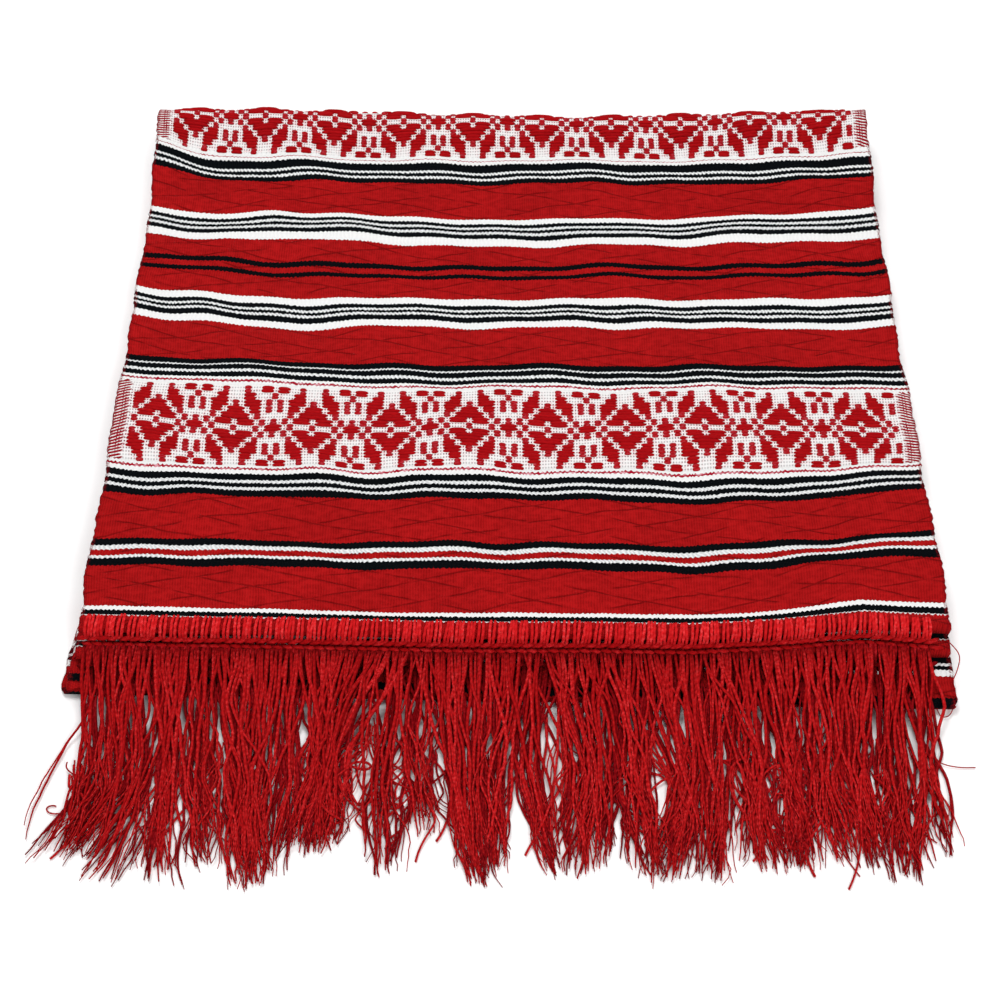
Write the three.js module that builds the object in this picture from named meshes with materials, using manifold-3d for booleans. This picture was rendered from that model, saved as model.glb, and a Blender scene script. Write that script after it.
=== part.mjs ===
// A folded ritual towel of woven cloth, with a fringe at both ends.
// Millimetres, +Z up, -Y towards the fringes. The towel rests on z = 0.
// It is folded in half and in half again, so it lies in four layers. From the top they are
// the upper end, the under end, and the two inner stretches that join at the front fold.

import * as THREE from 'three';
import { mergeVertices } from 'three/addons/utils/BufferGeometryUtils.js';
import Module from 'manifold-3d';

const wasm = await Module();
wasm.setup();

// Driving dimensions of the cloth.
const CLOTH_WIDTH = 300;
const CLOTH_CENTRE_X = 2.5;
const CLOTH_THICKNESS = 2;
const BACK_FOLD_Y = 175.4;
const OUTER_FOLD_RADIUS = 7.9;
const CREST_ANGLE = 103;
const INNER_FOLD_RADIUS = 2.9;
const FRONT_FOLD_Y = -111.2;
const FRONT_FOLD_RADIUS = 1.35;
const BOTTOM_MIDDLE_Z = CLOTH_THICKNESS / 2;
const WIDTH_STEPS = 10;
const LAYER_STEP = 14;
const EDGE_WAVE_TURN = 3;

// Each rolled hem is an oval bar at the cloth's end.
const HEM_HALF_DEPTH = 3.6;
const HEM_HALF_HEIGHT = 2.5;
const HEM_FRONT_ANGLE = 180;
const HEM_BACK_ANGLE = 32;
const HEM_TIP_HALF = 0.4;
const HEM_STEPS = 6;
const HEM_TO_CLOTH = 3;
const UPPER_HEM = { y: -92.4, z: 14.3, layer: 'upper' };
const UNDER_HEM = { y: -95.6, z: 7.5, layer: 'under' };

// Height of each layer's middle surface, from the hems at the front to the crest of the fold.
const LAYER_HEIGHTS = [
  { y: -114, inner: 3.7, under: 7.5, upper: 14.3 },
  { y: -95, inner: 3.7, under: 7.5, upper: 14.3 },
  { y: -76, inner: 3.7, under: 8.9, upper: 14.0 },
  { y: -40, inner: 3.8, under: 8.3, upper: 13.3 },
  { y: 2, inner: 3.8, under: 7.9, upper: 12.7 },
  { y: 50, inner: 3.7, under: 6.9, upper: 10.4 },
  { y: 92, inner: 3.7, under: 6.6, upper: 9.3 },
  { y: 133, inner: 4.0, under: 7.4, upper: 10.8 },
  { y: 157, inner: 5.0, under: 8.9, upper: 12.6 },
  { y: 175.4, inner: 6.0, under: 11.8, upper: 16.6 },
];

// How far each layer follows the towel's shallow waves, and how far it lies to one side.
const LAYER_LOOSENESS = {
  bottom: { wave: 0, shift: -2.2 },
  inner: { wave: 0.12, shift: -1.4 },
  under: { wave: 0.45, shift: -0.7 },
  upper: { wave: 1, shift: 0 },
};

// Long shallow waves in the cloth: height in mm, length across and along, and start.
const WAVES = [
  { height: 0.55, across: 176, along: 320, start: 0.4 },
  { height: 0.4, across: 94, along: -190, start: 2.1 },
  { height: 0.25, across: 51, along: 120, start: 4.4 },
];
const HEM_WAVE_SHARE = 0.3;
const HEM_CALM = 60;
const EDGE_WAVES = [
  { height: 0.5, along: 74, start: 0.6 },
  { height: 0.35, along: 31, start: 2.8 },
];

// The loose ends of the back fold stand up a little, the front fold lies askew, and the upper hem
// bows towards the back near both of its ends: one value for each step across the cloth.
const EAR_HEIGHT = 2.2;
const EAR_POWER = 3;
const EAR_RISE = { from: 105, to: 175 };
const FRONT_SKEW = { reach: 3.3, from: -110, to: -40 };
const HEM_BOW = [3.2, 2.6, 1.9, 1.2, 0.5, 0.3, 0, -0.7, 1.2, 4, 1];
const HEM_BOW_END = -20;

// The fringe trim wraps each hem: a strip of yarn loops with a crocheted chain at its lower edge.
const TRIM_LEFT_X = -144.5;
const TRIM_RIGHT_X = 143.8;
const TRIM_GAP = 0.5;
const TRIM_THICKNESS = 1;
const TRIM_BACK_ANGLE = 72;
const TRIM_FRONT_ANGLE = 180;
const TRIM_ANGLE_STEPS = 4;
const LOOP_BUNCHES = 80;
const PLAIN_TRIM_STEP = 13;
const LOOP_RIDGE = 0.35;
const CHAIN_REACH = 2.2;
const CHAIN_TOP = -0.5;
const CHAIN_BOTTOM = -2.1;
const ROOT_REACH = 1.2;
const ROOT_BOTTOM = -1.9;

// Strands, as flat-bottomed threads with three sides.
const STRANDS_PER_FRINGE = 56;
const STRAND_ROOT_WIDTH = 1.4;
const STRAND_TIP_WIDTH = 1;
const STRAND_HEIGHT = 1.1;
const FRINGE_TIP_Y = -180.74;
const TIP_SCATTER = 5.5;
const FRINGE_LEAN_LEFT = -11.6;
const FRINGE_LEAN_RIGHT = 4;
const LEAN_POWER = 1.4;
const END_MARGIN = 1.2;
const STRAND_WAVE = { reach: 0.35, pitch: 57, turn: 0.043 };
const SCATTER_TURNS = [2.4, 0.37];

// The strands gather into locks: how far sideways, the distance between locks, and the start.
const LOCKS = [
  { reach: 2.4, pitch: 71, start: 0.9 },
  { reach: 1.1, pitch: 38, start: 3.9 },
];

// The underside of a strand on its way down from its chain, until it lies on the surface.
const UPPER_FALL = [
  { y: -103, z: 10.3 },
  { y: -115.5, z: 5.4 },
  { y: -129, z: 0 },
];
const UNDER_FALL = [
  { y: -115.5, z: 5.1 },
  { y: -120.5, z: 2.3 },
  { y: -128, z: 0 },
];

// Directions from a fold's centre, in degrees from the back.
const UP = 90;
const DOWN = -90;

const YARN_RED = 0xb3151c;
const CLOTH_RED = 0xa8131a;

function meshOf(name, geometry, colour) {
  const material = new THREE.MeshStandardMaterial({ color: colour, roughness: 0.9, metalness: 0 });
  const mesh = new THREE.Mesh(geometry, material);
  mesh.name = name;
  return mesh;
}

// Joins rings of equal length into one closed surface. A ring runs up one side of a strip and
// back down the other, so its caps are closed by pairs of opposite points.
function loftOf(rings) {
  const count = rings[0].length;
  const positions = rings.flat().flatMap((p) => [p.x, p.y, p.z]);
  const index = [];
  for (let r = 0; r + 1 < rings.length; r += 1) {
    for (let i = 0; i < count; i += 1) {
      const a = r * count + i;
      const b = r * count + ((i + 1) % count);
      index.push(a, b, b + count, a, b + count, a + count);
    }
  }
  const last = (rings.length - 1) * count;
  for (let i = 0; i + 1 < count - 1 - i; i += 1) {
    const opposite = count - 1 - i;
    index.push(i, opposite, i + 1);
    index.push(last + i, last + i + 1, last + opposite);
    if (i + 1 !== opposite - 1) {
      index.push(i + 1, opposite, opposite - 1);
      index.push(last + i + 1, last + opposite - 1, last + opposite);
    }
  }
  const geometry = new THREE.BufferGeometry();
  geometry.setAttribute('position', new THREE.Float32BufferAttribute(positions, 3));
  geometry.setIndex(index);
  return turnedOut(geometry);
}

function signedVolume(geometry) {
  const place = geometry.getAttribute('position');
  const index = geometry.getIndex().array;
  const [a, b, c] = [new THREE.Vector3(), new THREE.Vector3(), new THREE.Vector3()];
  let volume = 0;
  for (let i = 0; i < index.length; i += 3) {
    a.fromBufferAttribute(place, index[i]);
    b.fromBufferAttribute(place, index[i + 1]);
    c.fromBufferAttribute(place, index[i + 2]);
    volume += a.dot(b.cross(c)) / 6;
  }
  return volume;
}

// Reverses every face if the surface is inside out.
function turnedOut(geometry) {
  if (signedVolume(geometry) < 0) {
    geometry.setIndex(Array.from(geometry.getIndex().array).reverse());
  }
  return geometry;
}

function solidOf(geometry) {
  const merged = mergeVertices(geometry, 1e-4);
  return new wasm.Manifold(new wasm.Mesh({
    numProp: 3,
    vertProperties: new Float32Array(merged.getAttribute('position').array),
    triVerts: new Uint32Array(merged.getIndex().array),
  }));
}

function geometryOf(solid) {
  const mesh = solid.getMesh();
  const geometry = new THREE.BufferGeometry();
  geometry.setAttribute('position', new THREE.BufferAttribute(mesh.vertProperties, 3));
  geometry.setIndex(new THREE.BufferAttribute(mesh.triVerts, 1));
  return geometry;
}

// A smooth curve through the rows of a table that is sorted by y.
function heightAt(rows, column, y) {
  const last = rows.length - 1;
  let i = rows.findIndex((row) => row.y > y) - 1;
  if (i < 0) {
    i = y < rows[0].y ? 0 : last - 1;
  }
  const slope = (k) => {
    const [a, b] = [rows[Math.max(k - 1, 0)], rows[Math.min(k + 1, last)]];
    return (b[column] - a[column]) / (b.y - a.y);
  };
  const step = rows[i + 1].y - rows[i].y;
  const t = (y - rows[i].y) / step;
  const rise = rows[i + 1][column] - rows[i][column];
  const bend = (slope(i) * (1 - t) - slope(i + 1) * t) * step - rise * (1 - 2 * t);
  return rows[i][column] + rise * t + t * (1 - t) * bend;
}

// The waves die down towards the hems, and the ears rise towards the back fold.
function waveAt(x, y) {
  const heights = WAVES.map((w) => (
    w.height * Math.sin(2 * Math.PI * (x / w.across + y / w.along) + w.start)
  ));
  const share = HEM_WAVE_SHARE
    + (1 - HEM_WAVE_SHARE) * THREE.MathUtils.smoothstep(y, UPPER_HEM.y, UPPER_HEM.y + HEM_CALM);
  const across = Math.abs(x - CLOTH_CENTRE_X) / (CLOTH_WIDTH / 2);
  const ear = EAR_HEIGHT * across ** EAR_POWER
    * THREE.MathUtils.smoothstep(y, EAR_RISE.from, EAR_RISE.to);
  return share * heights.reduce((sum, h) => sum + h, 0) + ear;
}

// How far towards the back the upper hem and its trim lie at x.
function hemBow(hem, x) {
  if (hem !== UPPER_HEM) {
    return 0;
  }
  const across = (x - CLOTH_CENTRE_X) / (CLOTH_WIDTH / 2);
  const place = THREE.MathUtils.clamp((across + 1) / 2, 0, 1) * WIDTH_STEPS;
  const i = Math.min(Math.floor(place), WIDTH_STEPS - 1);
  return THREE.MathUtils.lerp(HEM_BOW[i], HEM_BOW[i + 1], place - i);
}

// How far a layer's points move along Y at x.
function slideAt(layer, x, across, y) {
  if (layer === 'upper') {
    return hemBow(UPPER_HEM, x) * (1 - THREE.MathUtils.smoothstep(y, UPPER_HEM.y, HEM_BOW_END));
  }
  if (layer === 'under') {
    return 0;
  }
  const share = 1 - THREE.MathUtils.smoothstep(y, FRONT_SKEW.from, FRONT_SKEW.to);
  return -across * FRONT_SKEW.reach * share;
}

function edgeWaveAt(y, layerStart) {
  const reaches = EDGE_WAVES.map((w) => (
    w.height * Math.sin((2 * Math.PI * y) / w.along + w.start + layerStart)
  ));
  return reaches.reduce((sum, r) => sum + r, 0);
}

function spread(from, to, count) {
  return Array.from({ length: count + 1 }, (unused, i) => from + ((to - from) * i) / count);
}

// One layer's points of the section, from one y to another.
function layerPoints(layer, fromY, toY) {
  const steps = Math.ceil(Math.abs(toY - fromY) / LAYER_STEP);
  return spread(fromY, toY, steps).map((y) => ({
    y,
    z: layer === 'bottom' ? BOTTOM_MIDDLE_Z : heightAt(LAYER_HEIGHTS, layer, y),
    layer,
    half: CLOTH_THICKNESS / 2,
  }));
}

// A rolled hem, as points whose half thickness follows an oval.
function hemPoints(hem) {
  return spread(HEM_FRONT_ANGLE, HEM_BACK_ANGLE, HEM_STEPS).map((degrees) => {
    const angle = THREE.MathUtils.degToRad(degrees);
    return {
      y: hem.y + HEM_HALF_DEPTH * Math.cos(angle),
      z: hem.z,
      layer: hem.layer,
      half: Math.max(HEM_HALF_HEIGHT * Math.sin(angle), HEM_TIP_HALF),
    };
  });
}

// A fold between two layers, as a half circle. Its points pass from one layer to the other.
function foldPoints(centreY, centreZ, radius, fromDegrees, toDegrees, count, fromLayer, toLayer) {
  return spread(fromDegrees, toDegrees, count).slice(1, -1).map((degrees, i) => {
    const angle = THREE.MathUtils.degToRad(degrees);
    return {
      y: centreY + radius * Math.cos(angle),
      z: centreZ + radius * Math.sin(angle),
      layer: fromLayer,
      nextLayer: toLayer,
      share: (i + 1) / count,
      half: CLOTH_THICKNESS / 2,
    };
  });
}

// The middle line of the whole cloth, from the upper hem round to the under hem.
function clothPath() {
  const hemEnd = HEM_HALF_DEPTH * Math.cos(THREE.MathUtils.degToRad(HEM_BACK_ANGLE));
  const backZ = BOTTOM_MIDDLE_Z + OUTER_FOLD_RADIUS;
  const frontZ = BOTTOM_MIDDLE_Z + FRONT_FOLD_RADIUS;
  const outerY = BACK_FOLD_Y
    + OUTER_FOLD_RADIUS * Math.sin(THREE.MathUtils.degToRad(CREST_ANGLE - UP));
  return [
    ...hemPoints(UPPER_HEM),
    ...layerPoints('upper', UPPER_HEM.y + hemEnd + HEM_TO_CLOTH, BACK_FOLD_Y),
    ...foldPoints(outerY, backZ, OUTER_FOLD_RADIUS, CREST_ANGLE, DOWN, 10, 'upper', 'bottom'),
    ...layerPoints('bottom', outerY, FRONT_FOLD_Y),
    ...foldPoints(FRONT_FOLD_Y, frontZ, FRONT_FOLD_RADIUS, DOWN + 360, UP, 6, 'bottom', 'inner'),
    ...layerPoints('inner', FRONT_FOLD_Y, BACK_FOLD_Y),
    ...foldPoints(BACK_FOLD_Y, backZ, INNER_FOLD_RADIUS, DOWN, UP, 6, 'inner', 'under'),
    ...layerPoints('under', BACK_FOLD_Y, UNDER_HEM.y + hemEnd + HEM_TO_CLOTH),
    ...hemPoints(UNDER_HEM).reverse(),
  ];
}

function looseness(point) {
  const from = LAYER_LOOSENESS[point.layer];
  const to = LAYER_LOOSENESS[point.nextLayer ?? point.layer];
  const share = point.share ?? 0;
  return {
    wave: from.wave + (to.wave - from.wave) * share,
    shift: from.shift + (to.shift - from.shift) * share,
  };
}

// The outline of the section at one place across the towel.
function clothRing(path, across) {
  const centre = path.map((point) => {
    const { wave, shift } = looseness(point);
    const reach = CLOTH_WIDTH / 2 + edgeWaveAt(point.y, shift * EDGE_WAVE_TURN);
    const x = CLOTH_CENTRE_X + shift + across * reach;
    const y = point.y + slideAt(point.layer, x, across, point.y);
    return { x, y, z: point.z + wave * waveAt(x, point.y), half: point.half };
  });
  const sides = [[], []];
  centre.forEach((point, i) => {
    const before = centre[Math.max(i - 1, 0)];
    const after = centre[Math.min(i + 1, centre.length - 1)];
    const length = Math.hypot(after.y - before.y, after.z - before.z);
    const normalY = -(after.z - before.z) / length;
    const normalZ = (after.y - before.y) / length;
    [1, -1].forEach((side, k) => sides[k].push(new THREE.Vector3(
      point.x,
      point.y + side * point.half * normalY,
      point.z + side * point.half * normalZ,
    )));
  });
  return [...sides[0], ...sides[1].reverse()];
}

function cloth() {
  const path = clothPath();
  const rings = spread(-1, 1, WIDTH_STEPS).map((across) => clothRing(path, across));
  return meshOf('cloth', loftOf(rings), CLOTH_RED);
}

function hemHeight(hem, x) {
  return hem.z + LAYER_LOOSENESS[hem.layer].wave * waveAt(x, hem.y);
}

// The trim's outline round a hem: up its inner side and back along its outer side.
function trimRing(hem, x, ridge) {
  const y = hem.y + hemBow(hem, x);
  const z = hemHeight(hem, x);
  const angles = spread(TRIM_BACK_ANGLE, TRIM_FRONT_ANGLE, TRIM_ANGLE_STEPS);
  const shell = (away) => angles.map((degrees) => {
    const angle = THREE.MathUtils.degToRad(degrees);
    return new THREE.Vector3(
      x,
      y + (HEM_HALF_DEPTH + away) * Math.cos(angle),
      z + (HEM_HALF_HEIGHT + away) * Math.sin(angle),
    );
  });
  const inner = shell(TRIM_GAP);
  const outer = shell(TRIM_GAP + TRIM_THICKNESS + ridge);
  const front = y - HEM_HALF_DEPTH - TRIM_GAP;
  inner.push(new THREE.Vector3(x, front, z + CHAIN_TOP));
  inner.push(new THREE.Vector3(x, front, z + CHAIN_BOTTOM));
  outer.push(new THREE.Vector3(x, front - CHAIN_REACH - ridge, z + CHAIN_TOP));
  outer.push(new THREE.Vector3(x, front - CHAIN_REACH - ridge, z + CHAIN_BOTTOM));
  return [...inner, ...outer.reverse()];
}

// The upper trim shows its bunches of loops as ridges. The under trim lies below it and is plain.
function trimSolid(hem) {
  const length = TRIM_RIGHT_X - TRIM_LEFT_X;
  const ridged = hem === UPPER_HEM;
  const steps = ridged ? 2 * LOOP_BUNCHES : Math.round(length / PLAIN_TRIM_STEP);
  const xs = spread(TRIM_LEFT_X, TRIM_RIGHT_X, steps);
  return solidOf(loftOf(xs.map((x, i) => trimRing(hem, x, ridged && i % 2 ? LOOP_RIDGE : 0))));
}

// How far sideways a strand's tip lies from its root. It grows with x more slowly than x itself,
// so no two strands cross.
function tipShift(x) {
  const along = (x - TRIM_LEFT_X) / (TRIM_RIGHT_X - TRIM_LEFT_X);
  const lean = FRINGE_LEAN_LEFT + (FRINGE_LEAN_RIGHT - FRINGE_LEAN_LEFT) * along;
  return LOCKS.reduce(
    (sum, lock) => sum + lock.reach * Math.sin((2 * Math.PI * x) / lock.pitch + lock.start),
    lean,
  );
}

function strandSolid(x, hem, fall, tipY) {
  const rootY = hem.y + hemBow(hem, x) - HEM_HALF_DEPTH - TRIM_GAP - ROOT_REACH;
  const points = [
    { y: rootY, z: hemHeight(hem, x) + ROOT_BOTTOM },
    ...fall,
    { y: (fall.at(-1).y + tipY) / 2, z: 0 },
    { y: tipY, z: 0 },
  ];
  const rings = points.map((point) => {
    const down = (point.y - rootY) / (tipY - rootY);
    const width = STRAND_ROOT_WIDTH + (STRAND_TIP_WIDTH - STRAND_ROOT_WIDTH) * down;
    const turn = (2 * Math.PI * point.y) / STRAND_WAVE.pitch + x * STRAND_WAVE.turn;
    const middle = x + tipShift(x) * down ** LEAN_POWER + STRAND_WAVE.reach * Math.sin(turn);
    return [
      new THREE.Vector3(middle - width / 2, point.y, point.z),
      new THREE.Vector3(middle, point.y, point.z + STRAND_HEIGHT),
      new THREE.Vector3(middle + width / 2, point.y, point.z),
    ];
  });
  return solidOf(loftOf(rings));
}

function fringe(name, hem, fall, firstLane) {
  const lane = (TRIM_RIGHT_X - TRIM_LEFT_X - 2 * END_MARGIN) / (STRANDS_PER_FRINGE * 2);
  const strands = Array.from({ length: STRANDS_PER_FRINGE }, (unused, i) => {
    const x = TRIM_LEFT_X + END_MARGIN + lane * (2 * i + 0.5 + firstLane);
    const scatter = Math.sin(i * SCATTER_TURNS[0] + firstLane) * Math.cos(i * SCATTER_TURNS[1]);
    const tipY = FRINGE_TIP_Y + TIP_SCATTER * scatter;
    return strandSolid(x, hem, fall, tipY);
  });
  const solid = wasm.Manifold.union([trimSolid(hem), ...strands]);
  return meshOf(name, geometryOf(solid), YARN_RED);
}

const towel = new THREE.Group();
towel.add(cloth());
towel.add(fringe('fringe_upper', UPPER_HEM, UPPER_FALL, 0));
towel.add(fringe('fringe_under', UNDER_HEM, UNDER_FALL, 1));

export default towel;
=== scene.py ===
# %% [markdown]
# A ceremonial towel of heavy woven cloth, folded in half and in half again, with a red fringe at
# both ends. The solids come first: they fix its size and its place, and every piece that is made
# here lies on them. All sizes below are in millimetres, and one factor turns them into metres.

# %% Load the solids
import math
import random

import bpy
import numpy as np
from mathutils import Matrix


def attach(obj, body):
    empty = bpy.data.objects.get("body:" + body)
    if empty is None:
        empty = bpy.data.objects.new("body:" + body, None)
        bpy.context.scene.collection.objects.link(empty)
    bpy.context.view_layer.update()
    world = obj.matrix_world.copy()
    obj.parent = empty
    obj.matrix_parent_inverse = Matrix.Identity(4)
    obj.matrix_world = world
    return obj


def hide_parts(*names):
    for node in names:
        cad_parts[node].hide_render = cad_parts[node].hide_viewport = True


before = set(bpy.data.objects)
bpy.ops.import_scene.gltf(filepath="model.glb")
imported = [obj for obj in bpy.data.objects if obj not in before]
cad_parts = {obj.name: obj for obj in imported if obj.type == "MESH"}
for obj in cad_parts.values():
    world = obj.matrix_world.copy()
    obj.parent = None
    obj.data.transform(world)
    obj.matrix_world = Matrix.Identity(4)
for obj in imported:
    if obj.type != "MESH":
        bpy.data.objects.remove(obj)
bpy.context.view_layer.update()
MM = 0.001

# %% [markdown]
# The towel is seen from the front and above, through a long lens. The camera stands where the
# fitted lines of the towel's edges meet. A real product shot has white paper under soft boxes, so
# the floor is a bright plane and the light comes from broad lamps and an even white sky.

# %% Camera, floor and light
CAMERA_PLACE = (-2.6, -534.5, 591.0)
CAMERA_DOWN = 49.0
LENS = 76.18
FLOOR_SIDE = 6000.0
FLOOR_DROP = 0.05

camera_data = bpy.data.cameras.new("camera")
camera_data.lens = LENS
camera_data.sensor_width = 36.0
camera_data.clip_start = 0.01
camera = bpy.data.objects.new("camera", camera_data)
camera.location = [v * MM for v in CAMERA_PLACE]
camera.rotation_euler = (math.radians(90.0 - CAMERA_DOWN), 0.0, 0.0)
scene = bpy.context.scene
scene.collection.objects.link(camera)
scene.camera = camera

LAMPS = [
    {"name": "top_box", "place": (-180, 330, 1280), "aim": (0, 0, 0), "side": 520, "watts": 8.5},
    {"name": "front_box", "place": (350, -1000, 900), "aim": (0, -60, 0), "side": 420, "watts": 7.5},
    {"name": "back_box", "place": (-300, 1100, 650), "aim": (0, 100, 0), "side": 500, "watts": 2.0},
]
SKY_STRENGTH = 0.52


def add_lamp(name, place, aim, side, watts):
    data = bpy.data.lights.new(name, "AREA")
    data.shape = "SQUARE"
    data.size = side * MM
    data.energy = watts
    lamp = bpy.data.objects.new(name, data)
    lamp.location = [v * MM for v in place]
    away = lamp.location - type(lamp.location)([v * MM for v in aim])
    lamp.rotation_euler = away.to_track_quat("Z", "Y").to_euler()
    scene.collection.objects.link(lamp)


for lamp in LAMPS:
    add_lamp(**lamp)

world = bpy.data.worlds.new("sky")
world.use_nodes = True
world.node_tree.nodes["Background"].inputs["Color"].default_value = (1.0, 1.0, 1.0, 1.0)
world.node_tree.nodes["Background"].inputs["Strength"].default_value = SKY_STRENGTH
scene.world = world
scene.view_settings.view_transform = "Standard"
print("camera at", CAMERA_PLACE, "lamps:", len(LAMPS))

# %% [markdown]
# Shader maths reads best as plain sums. This small class wraps one output of a node, and its
# operators add the Math nodes. One method makes every other node from its type, its settings and
# its inputs, so each finish further down is a few lines long.

# %% Shader maths


class Wire:
    """One value on its way through a material."""

    def __init__(self, finish, socket):
        self.finish = finish
        self.socket = socket

    def maths(self, operation, *values):
        inputs = dict(enumerate((self, *values)))
        return self.finish.node("ShaderNodeMath", {"operation": operation}, inputs)

    def __add__(self, other):
        return self.maths("ADD", other)

    def __mul__(self, other):
        return self.maths("MULTIPLY", other)

    def __sub__(self, other):
        return self.maths("SUBTRACT", other)

    def __truediv__(self, other):
        return self.maths("DIVIDE", other)

    def __rsub__(self, other):
        return self.finish.node("ShaderNodeMath", {"operation": "SUBTRACT"}, {0: other, 1: self})

    def sine(self):
        return self.maths("SINE")

    def size(self):
        return self.maths("ABSOLUTE")

    def part(self):
        return self.maths("FRACT")

    def over(self, level):
        return self.maths("GREATER_THAN", level)

    def most(self, other):
        return self.maths("MAXIMUM", other)

    def ramp(self, low, high):
        """0 below low, 1 above high, smooth between."""
        inputs = {"Value": self, "From Min": low, "From Max": high}
        return self.finish.node("ShaderNodeMapRange", {"interpolation_type": "SMOOTHSTEP"}, inputs)


class Finish:
    """A material and the one way that its nodes are made."""

    def __init__(self, name):
        self.material = bpy.data.materials.new(name)
        self.material.use_nodes = True
        self.tree = self.material.node_tree
        self.tree.nodes.clear()

    def node(self, kind, settings=None, inputs=None, output=0):
        made = self.tree.nodes.new(kind)
        for name, value in (settings or {}).items():
            if name == "stops":
                self.set_stops(made.color_ramp, value)
            else:
                setattr(made, name, value)
        for name, value in (inputs or {}).items():
            if isinstance(value, Wire):
                self.tree.links.new(value.socket, made.inputs[name])
            else:
                made.inputs[name].default_value = value
        return Wire(self, made.outputs[output]) if made.outputs else None

    @staticmethod
    def set_stops(ramp, stops):
        ramp.interpolation = "CONSTANT"
        ramp.elements[0].position = stops[0][0]
        ramp.elements[0].color = stops[0][1]
        ramp.elements.remove(ramp.elements[1])
        for place, colour in stops[1:]:
            ramp.elements.new(place).color = colour

    def stored(self, name):
        return self.node("ShaderNodeAttribute", {"attribute_name": name}, output="Fac")

    def place(self, x, y, z=0.0):
        return self.node("ShaderNodeCombineXYZ", inputs={"X": x, "Y": y, "Z": z})

    def cloud(self, place, scale, detail=2.0):
        inputs = {"Vector": place, "Scale": scale, "Detail": detail}
        return self.node("ShaderNodeTexNoise", inputs=inputs, output="Fac")

    def blend(self, share, first, second):
        inputs = {"Factor": share, 6: first, 7: second}
        return self.node("ShaderNodeMix", {"data_type": "RGBA"}, inputs, output=2)

    def done(self, colour, roughness, height, depth):
        """Wool and cotton hardly shine, so the mirror part of the light is nearly off."""
        bump = self.node("ShaderNodeBump", inputs={"Height": height, "Distance": depth * MM})
        inputs = {"Base Color": colour, "Roughness": roughness, "Normal": bump,
                  "Specular IOR Level": 0.05}
        surface = self.node("ShaderNodeBsdfPrincipled", inputs=inputs)
        self.node("ShaderNodeOutputMaterial", inputs={"Surface": surface})
        return self.material


def dyed(red, green, blue):
    """A colour from its values on a screen, 0 to 255."""
    parts = [v / 255.0 for v in (red, green, blue)]
    linear = [v / 12.92 if v < 0.04045 else ((v + 0.055) / 1.055) ** 2.4 for v in parts]
    return (*linear, 1.0)


# %% Floor
floor_finish = Finish("white_paper")
floor_place = floor_finish.node("ShaderNodeTexCoord", output="Object")
floor_grain = floor_finish.cloud(floor_place, 300.0)
floor_paint = floor_finish.blend(floor_grain, dyed(249, 249, 249), dyed(251, 251, 251))
bpy.ops.mesh.primitive_plane_add(size=FLOOR_SIDE * MM, location=(0.0, 0.0, -FLOOR_DROP * MM))
floor = bpy.context.active_object
floor.name = "floor"
floor.data.materials.append(floor_finish.done(floor_paint, 0.9, floor_grain, 0.01))
print("floor", FLOOR_SIDE, "mm wide")

# %% [markdown]
# The cloth is one long length that runs back and forth: forward from the fold at the back, round
# the front fold, and so on. Its side view is drawn first, as one line from hem to hem, from a
# short table of heights and three round folds. Nearly the same numbers shape the solid.

# %% The side view of the folded cloth
CLOTH_WIDTH = 300.0
CLOTH_CENTRE_X = 2.5
CLOTH_HALF = 1.0
BACK_FOLD_Y = 175.4
OUTER_FOLD_RADIUS = 8.1
CREST_SLACK = 1.8
CREST_ANGLE = 103.0
INNER_FOLD_RADIUS = 2.9
INNER_CENTRE_Z = 8.9
FRONT_FOLD_Y = -111.2
FRONT_FOLD_RADIUS = 1.35
HEM_HALF_DEPTH = 3.6
HEM_HALF_HEIGHT = 2.5
HEM_BACK_ANGLE = 32.0
HEM_TIP_HALF = 0.4
HEM_TO_CLOTH = 3.0
UPPER_HEM = {"y": -92.4, "z": 14.3, "layer": "upper"}
UNDER_HEM = {"y": -95.6, "z": 7.5, "layer": "under"}

LAYER_HEIGHTS = {
    "y": [-114, -95, -76, -40, 2, 50, 92, 133, 157, 175.4],
    "inner": [3.7, 3.7, 3.7, 3.8, 3.8, 3.7, 3.7, 4.0, 5.0, 6.0],
    "under": [7.5, 7.5, 8.9, 8.3, 7.9, 6.9, 6.6, 7.4, 8.9, 11.8],
    "upper": [14.3, 14.3, 14.0, 13.3, 12.7, 10.4, 9.3, 10.8, 12.6, 16.6],
}
LAYERS = {
    "bottom": {"half": 0.6, "wave": 0.0, "shift": -2.8, "wider": 2.5, "bow": 0.0, "skew": 1.0},
    "inner": {"half": 1.0, "wave": 0.12, "shift": -1.4, "wider": 1.6, "bow": 0.0, "skew": 1.0},
    "under": {"half": 1.0, "wave": 0.45, "shift": -0.7, "wider": 0.5, "bow": 0.0, "skew": 0.0},
    "upper": {"half": 1.0, "wave": 1.0, "shift": 0.0, "wider": 0.0, "bow": 1.0, "skew": 0.0},
}
SECTION_STEP = 1.0
FOLD_STEPS = 24
HEM_STEPS = 14


def height_at(layer, y):
    """A smooth curve through one column of the heights."""
    places, heights = LAYER_HEIGHTS["y"], LAYER_HEIGHTS[layer]
    last = len(places) - 1
    after = next((i for i, place in enumerate(places) if place > y), last)
    i = max(after - 1, 0)

    def slope(k):
        low, high = max(k - 1, 0), min(k + 1, last)
        return (heights[high] - heights[low]) / (places[high] - places[low])

    step = places[i + 1] - places[i]
    rise = heights[i + 1] - heights[i]
    t = (y - places[i]) / step
    bend = (slope(i) * (1 - t) - slope(i + 1) * t) * step - rise * (1 - 2 * t)
    return heights[i] + rise * t + t * (1 - t) * bend


def section_point(y, z, layer, to_layer=None, share=0.0, half=None):
    """Place, half thickness and how loosely the cloth lies there."""
    start, end = LAYERS[layer], LAYERS[to_layer or layer]
    values = {name: start[name] + (end[name] - start[name]) * share for name in start}
    values["half"] = half or values["half"]
    return (y, z, *values.values())


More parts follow.
